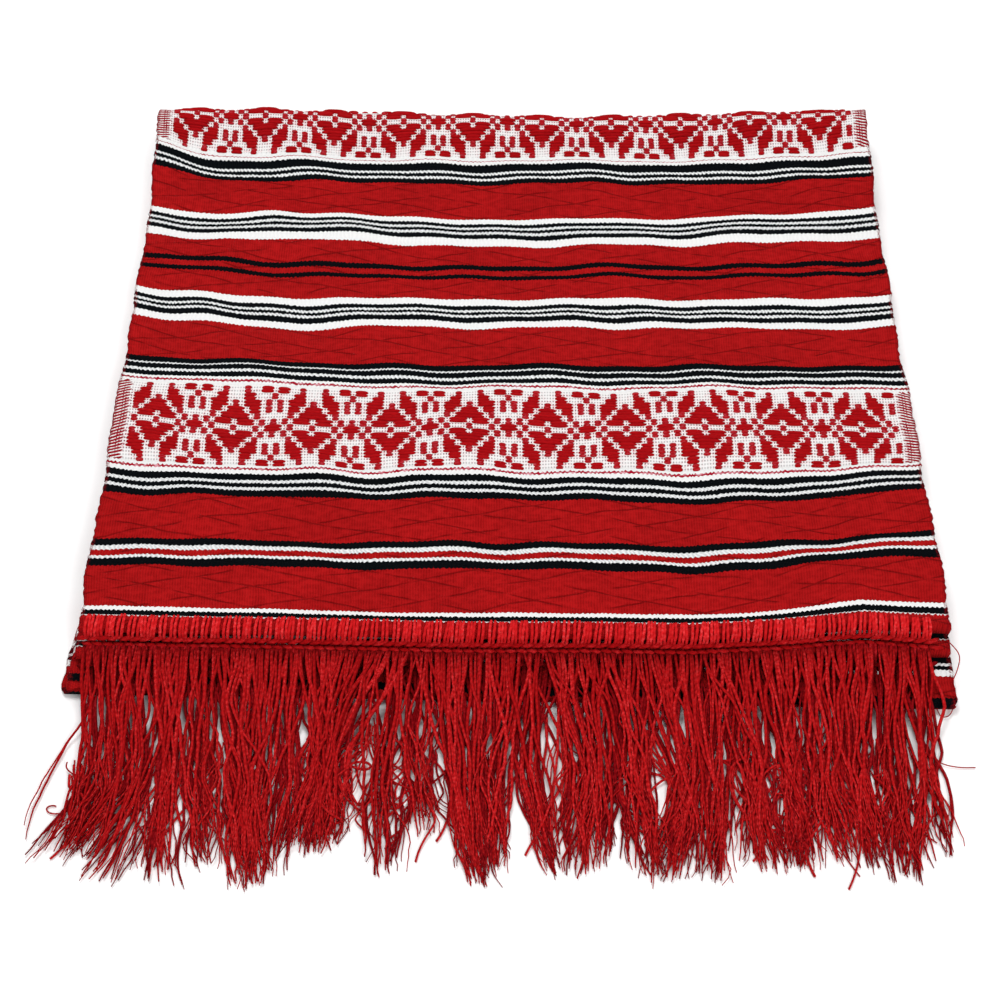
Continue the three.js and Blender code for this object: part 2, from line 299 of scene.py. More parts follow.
def layer_line(layer, from_y, to_y):
    count = math.ceil(abs(to_y - from_y) / SECTION_STEP)
    flat = CLOTH_HALF if layer == "bottom" else None
    return [section_point(y, flat or height_at(layer, y), layer)
            for y in np.linspace(from_y, to_y, count + 1)]


def hem_line(hem):
    angles = np.radians(np.linspace(180.0, HEM_BACK_ANGLE, HEM_STEPS))
    return [section_point(hem["y"] + HEM_HALF_DEPTH * math.cos(a), hem["z"], hem["layer"],
                          half=max(HEM_HALF_HEIGHT * math.sin(a), HEM_TIP_HALF)) for a in angles]


def fold_line(centre, radius, degrees, layer, to_layer):
    angles = np.radians(np.linspace(*degrees, FOLD_STEPS + 1))[1:-1]
    return [section_point(centre[0] + radius * math.cos(a), centre[1] + radius * math.sin(a),
                          layer, to_layer, (i + 1) / FOLD_STEPS)
            for i, a in enumerate(angles)]


hem_end = HEM_HALF_DEPTH * math.cos(math.radians(HEM_BACK_ANGLE)) + HEM_TO_CLOTH
crest_y = BACK_FOLD_Y + CREST_SLACK
outer_y = crest_y + OUTER_FOLD_RADIUS * math.sin(math.radians(CREST_ANGLE - 90.0))
outer_centre = (outer_y, CLOTH_HALF + OUTER_FOLD_RADIUS)
inner_centre = (BACK_FOLD_Y, INNER_CENTRE_Z)
front_centre = (FRONT_FOLD_Y, CLOTH_HALF + FRONT_FOLD_RADIUS)
section = np.array(
    hem_line(UPPER_HEM)
    + layer_line("upper", UPPER_HEM["y"] + hem_end, crest_y)
    + fold_line(outer_centre, OUTER_FOLD_RADIUS, (CREST_ANGLE, -90), "upper", "bottom")
    + layer_line("bottom", outer_y, FRONT_FOLD_Y)
    + fold_line(front_centre, FRONT_FOLD_RADIUS, (270, 90), "bottom", "inner")
    + layer_line("inner", FRONT_FOLD_Y, BACK_FOLD_Y)
    + fold_line(inner_centre, INNER_FOLD_RADIUS, (-90, 90), "inner", "under")
    + layer_line("under", BACK_FOLD_Y, UNDER_HEM["y"] + hem_end)
    + hem_line(UNDER_HEM)[::-1]
)
steps = np.hypot(np.diff(section[:, 0]), np.diff(section[:, 1]))
section_t = np.concatenate([[0.0], np.cumsum(steps)]) - HEM_HALF_DEPTH
tangent = np.gradient(section[:, :2], axis=0)
tangent /= np.linalg.norm(tangent, axis=1)[:, None]
FRONT_T = float(section_t[0])
END_T = float(section_t[-1])
HEM_TO_HEM = END_T - HEM_HALF_DEPTH
MIDDLE_T = float(section_t[np.argmin(section[:, 0])])
UNDER_STRETCH = (HEM_TO_HEM - MIDDLE_T) / MIDDLE_T
print(f"cloth from hem to hem {HEM_TO_HEM:.0f} mm, flat length {END_T - FRONT_T:.0f} mm")

# %% [markdown]
# The stripes are woven in, so they run from edge to edge and follow the cloth when it skews. They
# are listed from the hem to the middle of the towel, and the second half mirrors the first. Each
# row gives the yarn and how wide its stripe is; the uneven widths are those of the real towel. The
# middle lies at the front fold, so the under half is stretched by a hair.

# %% The order of the stripes
RED, WHITE, CORD, BLACK, BAND, LINE = "red", "white", "cord", "black", "band", "line"
HEM_STRIPES = [
    (RED, 1.4), (WHITE, 0.5), (BLACK, 2.2), (WHITE, 2.3), (RED, 19.4), (BLACK, 3.2), (CORD, 1.9),
    (RED, 2.2), (CORD, 2.0), (BLACK, 3.3), (RED, 20.7), (BLACK, 3.0), (CORD, 1.7), (BLACK, 2.0),
    (CORD, 1.5), (BLACK, 3.3), (WHITE, 1.9), (LINE, 1.1), (WHITE, 1.3),
]
BAND_WIDTH = 40.0
MIDDLE_STRIPES = [
    (WHITE, 1.6), (LINE, 1.1), (WHITE, 1.8), (BLACK, 2.4), (CORD, 1.4), (BLACK, 2.4), (CORD, 1.3),
    (BLACK, 3.2), (RED, 21.1), (WHITE, 3.8), (BLACK, 2.6), (CORD, 1.4), (BLACK, 1.4), (CORD, 1.4),
    (BLACK, 2.6), (WHITE, 3.8), (RED, 11.4), (BLACK, 2.6), (RED, 2.4), (BLACK, 2.8), (RED, 11.5),
    (WHITE, 3.8), (BLACK, 2.5), (CORD, 1.4), (BLACK, 1.2), (CORD, 1.7), (BLACK, 1.8), (WHITE, 3.0),
    (RED, 20.5), (BLACK, 3.0), (CORD, 1.4), (BLACK, 1.8), (CORD, 1.6), (BLACK, 4.0), (WHITE, 1.7),
    (LINE, 0.9), (WHITE, 1.6),
]
BESIDE_BAND = [
    (WHITE, 1.6), (LINE, 0.9), (WHITE, 1.7), (BLACK, 3.2), (CORD, 1.6), (BLACK, 1.9), (CORD, 1.4),
    (BLACK, 2.8),
]
SPARE_RED = 38.0
CENTRE_STRIPES = BESIDE_BAND + [
    (RED, SPARE_RED), (WHITE, 3.6), (BLACK, 2.4), (CORD, 1.4), (BLACK, 1.4), (CORD, 1.4),
    (BLACK, 2.5), (WHITE, 3.6), (RED, 30.0), (BLACK, 2.6), (RED, 2.4), (BLACK, 2.6), (RED, 30.0),
    (WHITE, 3.6), (BLACK, 2.4), (CORD, 1.4), (BLACK, 1.4), (CORD, 1.4), (BLACK, 2.4), (WHITE, 3.6),
    (RED, 20.0), (BLACK, 2.8), (CORD, 1.4), (BLACK, 1.9), (CORD, 1.4), (BLACK, 3.2), (WHITE, 1.7),
    (LINE, 0.9), (WHITE, 1.6),
]
FOLD_STRIPES = BESIDE_BAND + [
    (RED, 20.0), (WHITE, 3.6), (BLACK, 2.4), (CORD, 1.4), (BLACK, 1.4), (WHITE, 2.8), (RED, 9.4),
    (BLACK, 3.6), (RED, 1.5),
]
widths = (HEM_STRIPES + [(BAND, BAND_WIDTH)] + MIDDLE_STRIPES + [(BAND, BAND_WIDTH)]
          + CENTRE_STRIPES + [(BAND, BAND_WIDTH)] + FOLD_STRIPES)
spare = MIDDLE_T - sum(width for _, width in widths)
stripes = []
place = 0.0
for yarn, width in widths:
    wider = spare if (yarn, width) == (RED, SPARE_RED) else 0.0
    stripes.append((yarn, place, place + width + wider))
    place += width + wider
band_centres = [(low + high) / 2 for yarn, low, high in stripes if yarn == BAND]
print(f"{len(stripes)} stripes to the middle, spare {spare:.1f} mm, bands at",
      [round(t, 1) for t in band_centres])

# %% [markdown]
# On the table the stripes aren't straight. They curve towards the back near both edges, and they
# wander a little between. A few soft troughs cross the cloth too. All of this is small beside the
# towel, so it is worked out as a shift along the cloth and a lift away from it.

# %% How the cloth skews and waves
LIFT_ROWS = {
    "t": [0, 30, 65, 119, 150, 180, 200, 214, 240, 270, 300],
    "left": [0.2, 0.6, 3.6, 6.0, 7.0, 8.0, 8.6, 9.5, 12.0, 4.0, 0.0],
    "left_reach": [120, 110, 85, 75, 70, 80, 110, 90, 52, 45, 45],
    "right": [3.0, 7.0, 5.0, 0.6, 1.0, 3.5, 5.0, 7.5, 5.0, 3.0, 0.0],
    "right_reach": [75, 55, 35, 40, 40, 90, 85, 70, 55, 50, 50],
}
LIFT_POWER = 1.4
CALM_RISE = (-2.0, 23.0)
FADE_LONG = 200.0
# Each of the long waves has a size, a pitch across, a pitch along and a start
WANDERS = [(0.9, 118, 260, 1.1), (0.6, 63, -95, 3.0), (0.35, 29, 47, 0.4)]
NUDGE_LONG = 15.0
# Place across, place along, width, and how far the stripes move there
NUDGES = [
    (-126, 240, 14, -2.6), (-78, 240, 16, 2.6), (37, 240, 12, 1.8), (138, 240, 18, -3.4),
    (-131, 209, 12, -2.8), (-76, 209, 30, 2.4), (88, 209, 15, 3.0), (136, 209, 14, -3.0),
    (-119, 183, 13, 3.2), (86, 183, 16, 1.5), (141, 183, 12, -1.6), (-124, 157, 12, 2.8),
    (-84, 157, 12, -1.2), (38, 157, 14, -2.0), (142, 157, 12, -1.6), (-98, 122, 19, 3.7),
    (58, 122, 14, -1.3), (-132, 66, 14, -1.2), (-71, 66, 15, 3.1), (72, 66, 27, -2.2),
    (127, 66, 15, 3.2), (-120, 32, 22, -1.6), (-80, 32, 16, 1.4), (-26, 32, 13, 2.2),
    (66, 32, 11, -1.4), (100, 32, 12, 1.2), (151, 240, 9, -3.0), (-112, 240, 14, -1.0),
    (-100, 209, 10, 1.8), (-36, 209, 18, 1.4), (36, 209, 12, 1.2), (97, 209, 12, 2.4),
    (-121, 209, 9, -1.6), (-114, 122, 10, 1.2), (-80, 122, 12, 1.1), (94, 66, 12, -1.2),
    (-80, 66, 12, 1.0), (-90, 32, 11, 1.0), (-5, 32, 11, -1.0), (31, 32, 12, 1.2),
    (30, 272, 80, 0.8), (-112, 268, 34, -0.5),
]
WAVES = [(0.55, 176, 320, 0.4), (0.4, 94, -190, 2.1), (0.25, 51, 120, 4.4)]
HEM_WAVE_SHARE = 0.3
HEM_CALM = 60.0
# Size, pitch along and start
EDGE_WAVES = [(0.5, 74, 0.6), (0.35, 31, 2.8)]
EDGE_WAVE_TURN = 3.0
EAR_HEIGHT = 3.2
EAR_POWER = 3.0
EAR_RISE = (105.0, 175.0)
FRONT_SKEW = 3.3
FRONT_SKEW_RISE = (-110.0, -40.0)
HEM_BOW = [3.2, 2.6, 1.9, 1.2, 0.5, 0.3, 0.0, -0.7, 1.2, 4.0, 1.0]
HEM_BOW_END = -20.0
CREST_DIP = [0.0, 0.0, 0.2, 0.7, 2.0, 2.7, 2.9, 2.9, 2.9, 1.5, 0.8]
CREST_DIP_RISE = (152.0, 180.0)
MIDDLE_SKEW = -2.0
TROUGH_TAPER = 1.6
# Place across, place along, length, width, turn in degrees and depth
TROUGHS = [
    (-96, 206, 34, 4.5, -12, 0.9), (-52, 196, 30, 4.0, -8, 0.7), (22, 203, 42, 4.0, 4, 0.7),
    (96, 158, 36, 5.0, 5, 0.8), (-86, 152, 30, 5.0, -20, 0.9), (-18, 122, 46, 4.0, 3, 0.6),
    (70, 124, 34, 3.6, -4, 0.6), (-60, 66, 50, 4.0, -3, 0.6), (82, 62, 48, 4.5, 4, 0.7),
    (108, 36, 40, 4.5, 8, 0.8), (-18, 31, 60, 4.0, 1, 0.5), (-112, 238, 26, 5.0, -22, 1.0),
]


def ease(value):
    value = np.clip(value, 0.0, 1.0)
    return value * value * (3.0 - 2.0 * value)


def between(value, low, high):
    return ease((value - low) / (high - low))


def ripples(rows, x, y):
    """The sum of a few long waves."""
    return sum(size * np.sin(2 * np.pi * (x / across + y / along) + start)
               for size, across, along, start in rows)


def skew_at(x, t):
    """How far along the cloth a stripe moves, at x from its middle."""
    row = {name: np.interp(t, LIFT_ROWS["t"], values) for name, values in LIFT_ROWS.items()}
    half = CLOTH_WIDTH / 2
    left = row["left"] * np.clip(1.0 - (x + half) / row["left_reach"], 0.0, 1.0) ** LIFT_POWER
    right = row["right"] * np.clip(1.0 - (half - x) / row["right_reach"], 0.0, 1.0) ** LIFT_POWER
    nudge = sum(move * np.exp(-((x - nudge_x) / wide) ** 2 - ((t - nudge_t) / NUDGE_LONG) ** 2)
                for nudge_x, nudge_t, wide, move in NUDGES)
    moved = (ripples(WANDERS, x, t) + nudge) * between(t, *CALM_RISE)
    fade = ease((MIDDLE_T - t) / FADE_LONG)
    return (left + right) * fade + moved * fade + MIDDLE_SKEW * x / half * (1.0 - fade)


def wave_at(x, y):
    """Shallow waves that die down at the hems, and the ears of the back fold."""
    share = HEM_WAVE_SHARE + (1 - HEM_WAVE_SHARE) * ease((y - UPPER_HEM["y"]) / HEM_CALM)
    across = np.abs(x - CLOTH_CENTRE_X) / (CLOTH_WIDTH / 2)
    return share * ripples(WAVES, x, y) + EAR_HEIGHT * across ** EAR_POWER * between(y, *EAR_RISE)


def curve_at(x, heights):
    """A line through a few heights, evenly spread over the width."""
    across = (x - CLOTH_CENTRE_X) / (CLOTH_WIDTH / 2)
    return np.interp(across, np.linspace(-1.0, 1.0, len(heights)), heights)


def bow_at(x):
    """How far back the upper hem lies at x."""
    return curve_at(x, HEM_BOW)


def dip_at(x):
    """How far forward the crest of the back fold sags at x."""
    return curve_at(x, CREST_DIP)


def trough_at(x, t):
    deep = 0.0
    for centre_x, centre_t, long, wide, turn, drop in TROUGHS:
        cosine, sine = math.cos(math.radians(turn)), math.sin(math.radians(turn))
        along = (x - centre_x) * cosine + (t - centre_t) * sine
        aside = (t - centre_t) * cosine - (x - centre_x) * sine
        deep = deep - drop * np.exp(-(along / long * TROUGH_TAPER) ** 2 - (aside / wide) ** 2)
    return deep


def mirrored(t):
    return np.where(t > MIDDLE_T, (HEM_TO_HEM - t) / UNDER_STRETCH, t)


def on_cloth(across, pattern_t, lift=0.0, side=1.0):
    """Points on the cloth. across runs from -1 to 1, and pattern_t follows the stripes."""
    across, pattern_t = np.broadcast_arrays(np.asarray(across, float), np.asarray(pattern_t, float))
    nominal = across * CLOTH_WIDTH / 2
    t = np.clip(pattern_t + skew_at(nominal, pattern_t), FRONT_T, END_T)
    y, z, half, wave, shift, wider, bow, skew = (
        np.interp(t, section_t, section[:, i]) for i in range(8))
    along_y, along_z = (np.interp(t, section_t, tangent[:, i]) for i in range(2))
    length = np.hypot(along_y, along_z)
    along_y, along_z = along_y / length, along_z / length
    in_front = 1.0 - between(y, *FRONT_SKEW_RISE)
    reach = CLOTH_WIDTH / 2 + wider * in_front + sum(
        size * np.sin(2 * np.pi * y / pitch + start + shift * EDGE_WAVE_TURN)
        for size, pitch, start in EDGE_WAVES)
    x = CLOTH_CENTRE_X + shift * in_front + across * reach
    away = side * (half + lift) + wave * trough_at(nominal, pattern_t)
    z = z + wave * wave_at(x, y)
    slide = bow * bow_at(x) * (1.0 - between(y, UPPER_HEM["y"], HEM_BOW_END))
    slide = slide - skew * across * FRONT_SKEW * in_front - dip_at(x) * between(y, *CREST_DIP_RISE)
    return np.stack([x, y + slide - away * along_z, z + away * along_y], axis=-1)


print("skew at the left edge, 240 mm along:", round(float(skew_at(-148.0, 240.0)), 1), "mm")

# %% [markdown]
# The cloth itself is a closed sheet on that line. The side that shows has a row of points on every
# stripe's edge, so each stripe is a soft cord with a groove beside it. The wrong side and the
# hidden layers have an eighth of the columns, and faces with more corners join the two grids.

# %% Rows of the cloth
RELIEF = {RED: 0.0, WHITE: 0.34, CORD: 0.2, BLACK: 0.12, BAND: 0.1, LINE: 0.1}
GROOVE = -0.1
FIELD_STEP = 1.55
COARSE_STEP = 5.0
NARROW_STRIPE = 0.8
FINE_PAST_FOLD = 8.0
FINE_END = BACK_FOLD_Y - UPPER_HEM["y"] + math.pi * OUTER_FOLD_RADIUS + FINE_PAST_FOLD
NOSE_REACH = 14.0
HEM_ROWS = 5
HEM_ROWS_END = -0.4
FAR_HEM_REACH = 30.0
FAR_KEEP_EVERY = 4


def stripe_rows(low, high, yarn, step):
    """Places of rows in one stripe, each with its height."""
    count = max(3, round((high - low) / step)) if high - low > NARROW_STRIPE else 2
    if step == COARSE_STEP:
        count = max(1, round((high - low) / step))
    places = np.linspace(low, high, count + 1)[:-1]
    heights = [GROOVE] + [RELIEF[yarn]] * (count - 1)
    return list(zip(places, heights))


half_rows = [(t, 0.0) for t in np.linspace(FRONT_T, HEM_ROWS_END, HEM_ROWS)]
for yarn, low, high in stripes:
    fine = low < FINE_END or high > MIDDLE_T - NOSE_REACH
    half_rows += stripe_rows(low, high, yarn, FIELD_STEP if fine else COARSE_STEP)
row_t = [t for t, _ in half_rows]
row_lift = [lift for _, lift in half_rows]
under_rows = [(HEM_TO_HEM - t * (UNDER_STRETCH if t > 0.0 else 1.0), lift)
              for t, lift in reversed(half_rows)]
far_rows = [row for i, row in enumerate(under_rows) if i % FAR_KEEP_EVERY == 0
            or row[0] < MIDDLE_T + NOSE_REACH or row[0] > HEM_TO_HEM - FAR_HEM_REACH]
row_t = np.array(row_t + [MIDDLE_T] + [t for t, _ in far_rows])
row_lift = np.array(row_lift + [0.0] + [lift for _, lift in far_rows])
print(len(row_t), "rows along the cloth")

# %% The cloth's mesh
COARSE_COLUMNS = 27
FINE_PER_COARSE = 8
FRAY = 0.35
SELVAGE_ROUND = 0.5
WRONG_SIDE_RELIEF = 0.6
fine_columns = COARSE_COLUMNS * FINE_PER_COARSE
fine_across = np.linspace(-1.0, 1.0, fine_columns + 1)
coarse_across = fine_across[::FINE_PER_COARSE]
is_fine = (row_t > 0.0) & (row_t < FINE_END)
draw = random.Random(11)
fray = np.array([draw.uniform(-FRAY, FRAY) for _ in range(2 * len(row_t))]).reshape(2, -1)


class Mesh:
    """Collects points, faces and stored values, and becomes one object."""

    def __init__(self):
        self.points, self.faces, self.stored = [], [], {}
        self.count = 0

    def add(self, points, **stored):
        points = np.asarray(points, float).reshape(-1, 3)
        first = self.count
        self.points.append(points)
        for name, values in stored.items():
            values = np.broadcast_to(np.asarray(values, float), len(points))
            self.stored.setdefault(name, []).append(values)
        self.count += len(points)
        return first

    def object(self, name, finish):
        mesh = bpy.data.meshes.new(name)
        mesh.from_pydata((np.concatenate(self.points) * MM).tolist(), [], self.faces)
        for key, values in self.stored.items():
            layer = mesh.attributes.new(key, "FLOAT", "POINT")
            layer.data.foreach_set("value", np.concatenate(values).astype(np.float32))
        mesh.materials.append(finish)
        mesh.polygons.foreach_set("use_smooth", [True] * len(mesh.polygons))
        mesh.update()
        made = bpy.data.objects.new(name, mesh)
        scene.collection.objects.link(made)
        return made


def row_points(i, across, side):
    lift = row_lift[i] * (1.0 if side > 0 else WRONG_SIDE_RELIEF)
    points = on_cloth(across, row_t[i], lift, side)
    points[0, 0] += fray[0, i] + SELVAGE_ROUND
    points[-1, 0] += fray[1, i] - SELVAGE_ROUND
    return points


def join_rows(mesh, low, high, low_step, high_step):
    """Faces between two rows, which may have columns of unlike width."""
    for k in range(COARSE_COLUMNS):
        a = [low + k * low_step + j for j in range(low_step + 1)]
        b = [high + k * high_step + j for j in range(high_step + 1)]
        if low_step == high_step:
            mesh.faces += [(a[j], a[j + 1], b[j + 1], b[j]) for j in range(low_step)]
        else:
            mesh.faces.append(tuple(a + b[::-1]))


cloth_mesh = Mesh()
first_top, first_bottom, first_edge, columns_of = [], [], [], []
for i, t in enumerate(row_t):
    across = fine_across if is_fine[i] else coarse_across
    stored_t = float(mirrored(t))
    nominal = across * CLOTH_WIDTH / 2
    first_top.append(cloth_mesh.add(row_points(i, across, 1.0), along=stored_t, across=nominal))
    wrong = coarse_across * CLOTH_WIDTH / 2
    first_bottom.append(cloth_mesh.add(
        row_points(i, coarse_across, -1.0), along=stored_t, across=wrong))
    ends = on_cloth([-1.0, 1.0], t, 0.0, 0.0)
    ends[:, 0] += fray[:, i]
    first_edge.append(cloth_mesh.add(ends, along=stored_t, across=wrong[[0, -1]]))
    columns_of.append(FINE_PER_COARSE if is_fine[i] else 1)

for i in range(len(row_t) - 1):
    join_rows(cloth_mesh, first_top[i], first_top[i + 1], columns_of[i], columns_of[i + 1])
    join_rows(cloth_mesh, first_bottom[i + 1], first_bottom[i], 1, 1)
    for side, column in ((0, 0), (1, COARSE_COLUMNS)):
        top = [first_top[r] + columns_of[r] * column for r in (i, i + 1)]
        edge = [first_edge[r] + side for r in (i, i + 1)]
        low = [first_bottom[r] + column for r in (i, i + 1)]
        for first, second in ((top, edge), (edge, low)):
            face = (first[0], first[1], second[1], second[0])
            cloth_mesh.faces.append(face if side == 0 else face[::-1])
for i, flip in ((0, False), (len(row_t) - 1, True)):
    top, low, edge = first_top[i], first_bottom[i], first_edge[i]
    caps = [(top + k, low + k, low + k + 1, top + k + 1) for k in range(COARSE_COLUMNS)]
    caps += [(top, edge, low), (top + COARSE_COLUMNS, low + COARSE_COLUMNS, edge + 1)]
    cloth_mesh.faces += [face[::-1] for face in caps] if flip else caps
print("cloth points", cloth_mesh.count, "faces", len(cloth_mesh.faces))

# %% [markdown]
# The weave is a matter of colour and fine relief, so it is a finish. Ramps with hard steps look up
# which yarn lies at each place along the cloth, and a wavy offset gives every stripe its toothed
# edge. The red fields have fine ribs and soft diamond-weave creases darkened by painted shade.

# %% The cloth's finish
CODES = {RED: (0, 0, 0, 1), WHITE: (1, 0, 0, 1), CORD: (0.5, 0, 0, 1),
         BLACK: (0, 1, 0, 1), BAND: (0, 0, 1, 1), LINE: (0, 0, 0.5, 1)}
RAMP_STRIPES = 28
TOOTH_PITCH = 1.62
TOOTH_SIZE = 0.16
TOOTH_DRIFT = 16.0
RIB_PITCH = 0.94
RIB_DRIFT = 5.0
WEFT_PITCH = 0.55
PICK_PITCH = 1.54
COLUMN_PITCH = 2.088
DIAMOND_PITCH = 9.0
DIAMOND_SLOPE = 0.23
CODE_ON = 0.2
CODE_FULL = 0.7

cloth = Finish("woven_cloth_finish")
across = cloth.stored("across")
along = cloth.stored("along")
plane = cloth.place(across, along)


def wavy(wire, pitch, start=0.0):
    return (wire * (2 * math.pi / pitch) + start).sine()


def raised(wave):
    """A wave from -1 to 1 as one from 0 to 1."""
    return wave * 0.5 + 0.5


drift = cloth.cloud(plane, 0.16)
tooth = wavy(across, TOOTH_PITCH, drift * TOOTH_DRIFT)
unsteady = (cloth.cloud(plane, 0.7, 3.0) - 0.5) * 0.7
toothed = along + tooth * TOOTH_SIZE + unsteady

code = None
for first in range(0, len(stripes), RAMP_STRIPES):
    group = stripes[first:first + RAMP_STRIPES]
    low, high = group[0][1], group[-1][2]
    stops = [((start - low) / (high - low), CODES[yarn]) for yarn, start, _ in group]
    looked_up = cloth.node("ShaderNodeValToRGB", {"stops": stops}, {"Fac": (toothed - low) / (high - low)})
    code = looked_up if code is None else cloth.blend(toothed.over(low), code, looked_up)
white_code, is_black, band_code = (
    cloth.node("ShaderNodeSeparateColor", inputs={"Color": code}, output=output)
    for output in ("Red", "Green", "Blue"))
is_white, is_band = white_code.over(CODE_ON), band_code.over(CODE_ON)

rib = raised(wavy(across, RIB_PITCH, drift * RIB_DRIFT))
weft = raised(wavy(along, WEFT_PITCH, wavy(across, 2 * RIB_PITCH) * 1.4))
fleck = cloth.cloud(cloth.place(across, along * 1.7), 2.6, 3.0)
soft = cloth.cloud(plane, 0.035)
warp = (cloth.cloud(plane, 0.05) - 0.5) * 2.6


def crease(slope, start):
    """Dark broken lines across the red fields."""
    line = ((along + across * slope + warp + start) / DIAMOND_PITCH).part() - 0.5
    broken = cloth.cloud(cloth.place(across, along + start * 7.0), 0.08).ramp(0.36, 0.52)
    thin = 1.0 - line.size().ramp(0.0, 0.06)
    return thin * broken


creases = crease(DIAMOND_SLOPE, 0.0).most(crease(-DIAMOND_SLOPE, 3.1))
mottle = cloth.cloud(cloth.place(across * 0.55, along), 0.5, 4.0).ramp(0.38, 0.64)
red_dark = cloth.blend(fleck, dyed(92, 0, 1), dyed(136, 6, 8))
red_light = cloth.blend(fleck, dyed(152, 9, 10), dyed(200, 28, 30))
red_yarn = cloth.blend(rib * 0.4 + weft * 0.3 + fleck * 0.3, red_dark, red_light)
red_yarn = cloth.blend(mottle * 0.42, red_yarn, dyed(188, 24, 26))
# Painted shade: the diamond creases are darkened here as well as sunk in the relief.
red_yarn = cloth.blend(creases * 0.58, red_yarn, dyed(84, 0, 0))
red_yarn = cloth.blend(soft.ramp(0.35, 0.7) * 0.14, red_yarn, dyed(80, 0, 2))

tooth_shade = raised(tooth)
bead = raised(wavy(across, TOOTH_PITCH, along * 2.2 + drift * TOOTH_DRIFT))
white_wide = cloth.blend(tooth_shade * 0.14, dyed(228, 228, 227), dyed(188, 188, 190))
white_cord = cloth.blend(bead * 0.34, dyed(226, 227, 227), dyed(112, 115, 119))
white_yarn = cloth.blend(white_code.over(CODE_FULL), white_cord, white_wide)
black_yarn = cloth.blend(fleck.ramp(0.56, 0.85), dyed(2, 5, 8), dyed(42, 46, 50))
line_yarn = cloth.blend(cloth.cloud(cloth.place(across * 0.35, along), 0.9).ramp(0.48, 0.66),
                        dyed(160, 12, 40), dyed(214, 150, 160))

dots = raised(wavy(across, COLUMN_PITCH / 2)) * raised(wavy(along, PICK_PITCH))
dot_mask = dots.ramp(0.34, 0.72)
busy = cloth.stored("busy")
hole = cloth.blend(busy, dyed(128, 124, 128), dyed(96, 6, 26))
ground = cloth.blend(dot_mask * (busy * 0.6 + 0.36), dyed(228, 226, 225), hole)
ground = cloth.blend(cloth.cloud(plane, 1.1).ramp(0.45, 0.7) * busy * 0.6, ground, dyed(204, 72, 92))
band_yarn = cloth.blend(band_code.over(CODE_FULL), line_yarn, ground)

edge_in = CLOTH_WIDTH / 2 - across.size()
turns = wavy(along - edge_in * 0.4, PICK_PITCH, drift * RIB_DRIFT).ramp(-0.75, -0.1)
turn_zone = 1.0 - (edge_in + wavy(along, 2 * PICK_PITCH) * 0.5).ramp(4.8, 6.0)
band_yarn = cloth.blend(turn_zone * turns, band_yarn, dyed(140, 4, 20))
yarn = cloth.blend(is_black, red_yarn, black_yarn)
yarn = cloth.blend(is_white, yarn, white_yarn)
yarn = cloth.blend(is_band, yarn, band_yarn)
selvage = (1.0 - edge_in.ramp(0.5, 1.8)) * cloth.cloud(plane, 1.4).ramp(0.4, 0.6)
yarn = cloth.blend(selvage * 0.8, yarn, dyed(120, 4, 12))

plain = 1.0 - is_white.most(is_band)
thread_height = rib * 0.34 + weft * 0.35 + fleck * 0.4 - creases * 1.6
cord_height = tooth_shade * 0.4 + fleck * 0.4
dot_height = 1.0 - dot_mask * 0.9 + fleck * 0.3
height = plain * thread_height + is_white * cord_height + is_band * dot_height
cloth_finish = cloth.done(yarn, 0.95, height, 0.24)
print("cloth finish nodes:", len(cloth.tree.nodes))

# %% [markdown]
# The star bands are woven with an extra red yarn that floats over the white ground. The pattern is
# an old counted one, so it is charted: a quarter of the star, as columns from its centre to the
# point halfway to the next star, and rows of two picks from its middle line outwards.

# %% The star chart
STAR_CHART = [
    "#...#.##",
    ".###.#.#",
    "###.#...",
    "##.##.#.",
    "#.###.#.",
    "..##...#",
    "..#..##.",
]
STAR_COLUMNS = 14
STAR_START_X = -133.5
PICKS = 26
BAND_MARGIN = 6.2
NEIGHBOUR_SHARE = 0.4


def is_float(column, pick):
    """Whether the red yarn lies on top at one column and one pick of a band."""
    c = column % STAR_COLUMNS
    c = min(c, STAR_COLUMNS - c)
    block = abs(pick // 2 - PICKS // 4)
    return STAR_CHART[block][c] == "#"


def column_x(column):
    return STAR_START_X + column * COLUMN_PITCH


first_column = math.ceil((-CLOTH_WIDTH / 2 + BAND_MARGIN - STAR_START_X) / COLUMN_PITCH)
last_column = math.floor((CLOTH_WIDTH / 2 - BAND_MARGIN - STAR_START_X) / COLUMN_PITCH)
chart = np.array([[is_float(column, pick) for pick in range(PICKS)]
                  for column in range(first_column, last_column + 1)], float)
print("columns", first_column, "to", last_column, "red share", round(float(chart.mean()), 2))


def busy_at(x, t):
    """How much of the neighbourhood is red, which darkens the holes of the ground."""
    total = np.zeros_like(x)
    for centre in band_centres:
        pick = np.round((t - centre) / PICK_PITCH + (PICKS - 1) / 2).astype(int)
        column = np.round((x - STAR_START_X) / COLUMN_PITCH).astype(int) - first_column
        near = np.abs(t - centre) < BAND_WIDTH / 2
        for d_column, d_pick in ((-1, 0), (1, 0), (0, -1), (0, 1), (0, 0)):
            c = np.clip(column + d_column, 0, chart.shape[0] - 1)
            p = np.clip(pick + d_pick, 0, PICKS - 1)
            total = np.where(near, total + chart[c, p] * NEIGHBOUR_SHARE, total)
    return np.clip(total, 0.0, 1.0)


# %% The cloth as an object
stored_x = np.concatenate(cloth_mesh.stored["across"])
stored_t = np.concatenate(cloth_mesh.stored["along"])
cloth_mesh.stored["busy"] = [busy_at(stored_x, stored_t)]
towel = cloth_mesh.object("towel_cloth", cloth_finish)
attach(towel, "root")
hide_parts("cloth")
print("cloth faces", len(towel.data.polygons))

# %% [markdown]
# Each float is a small raised lens of yarn: it swells in its middle and dives into the cloth at
# both ends. A long float swells more than a short one. They are built as rows of rings and joined
# into one object for each band.

# %% Tubes of yarn
EDGE_RING = 0.12


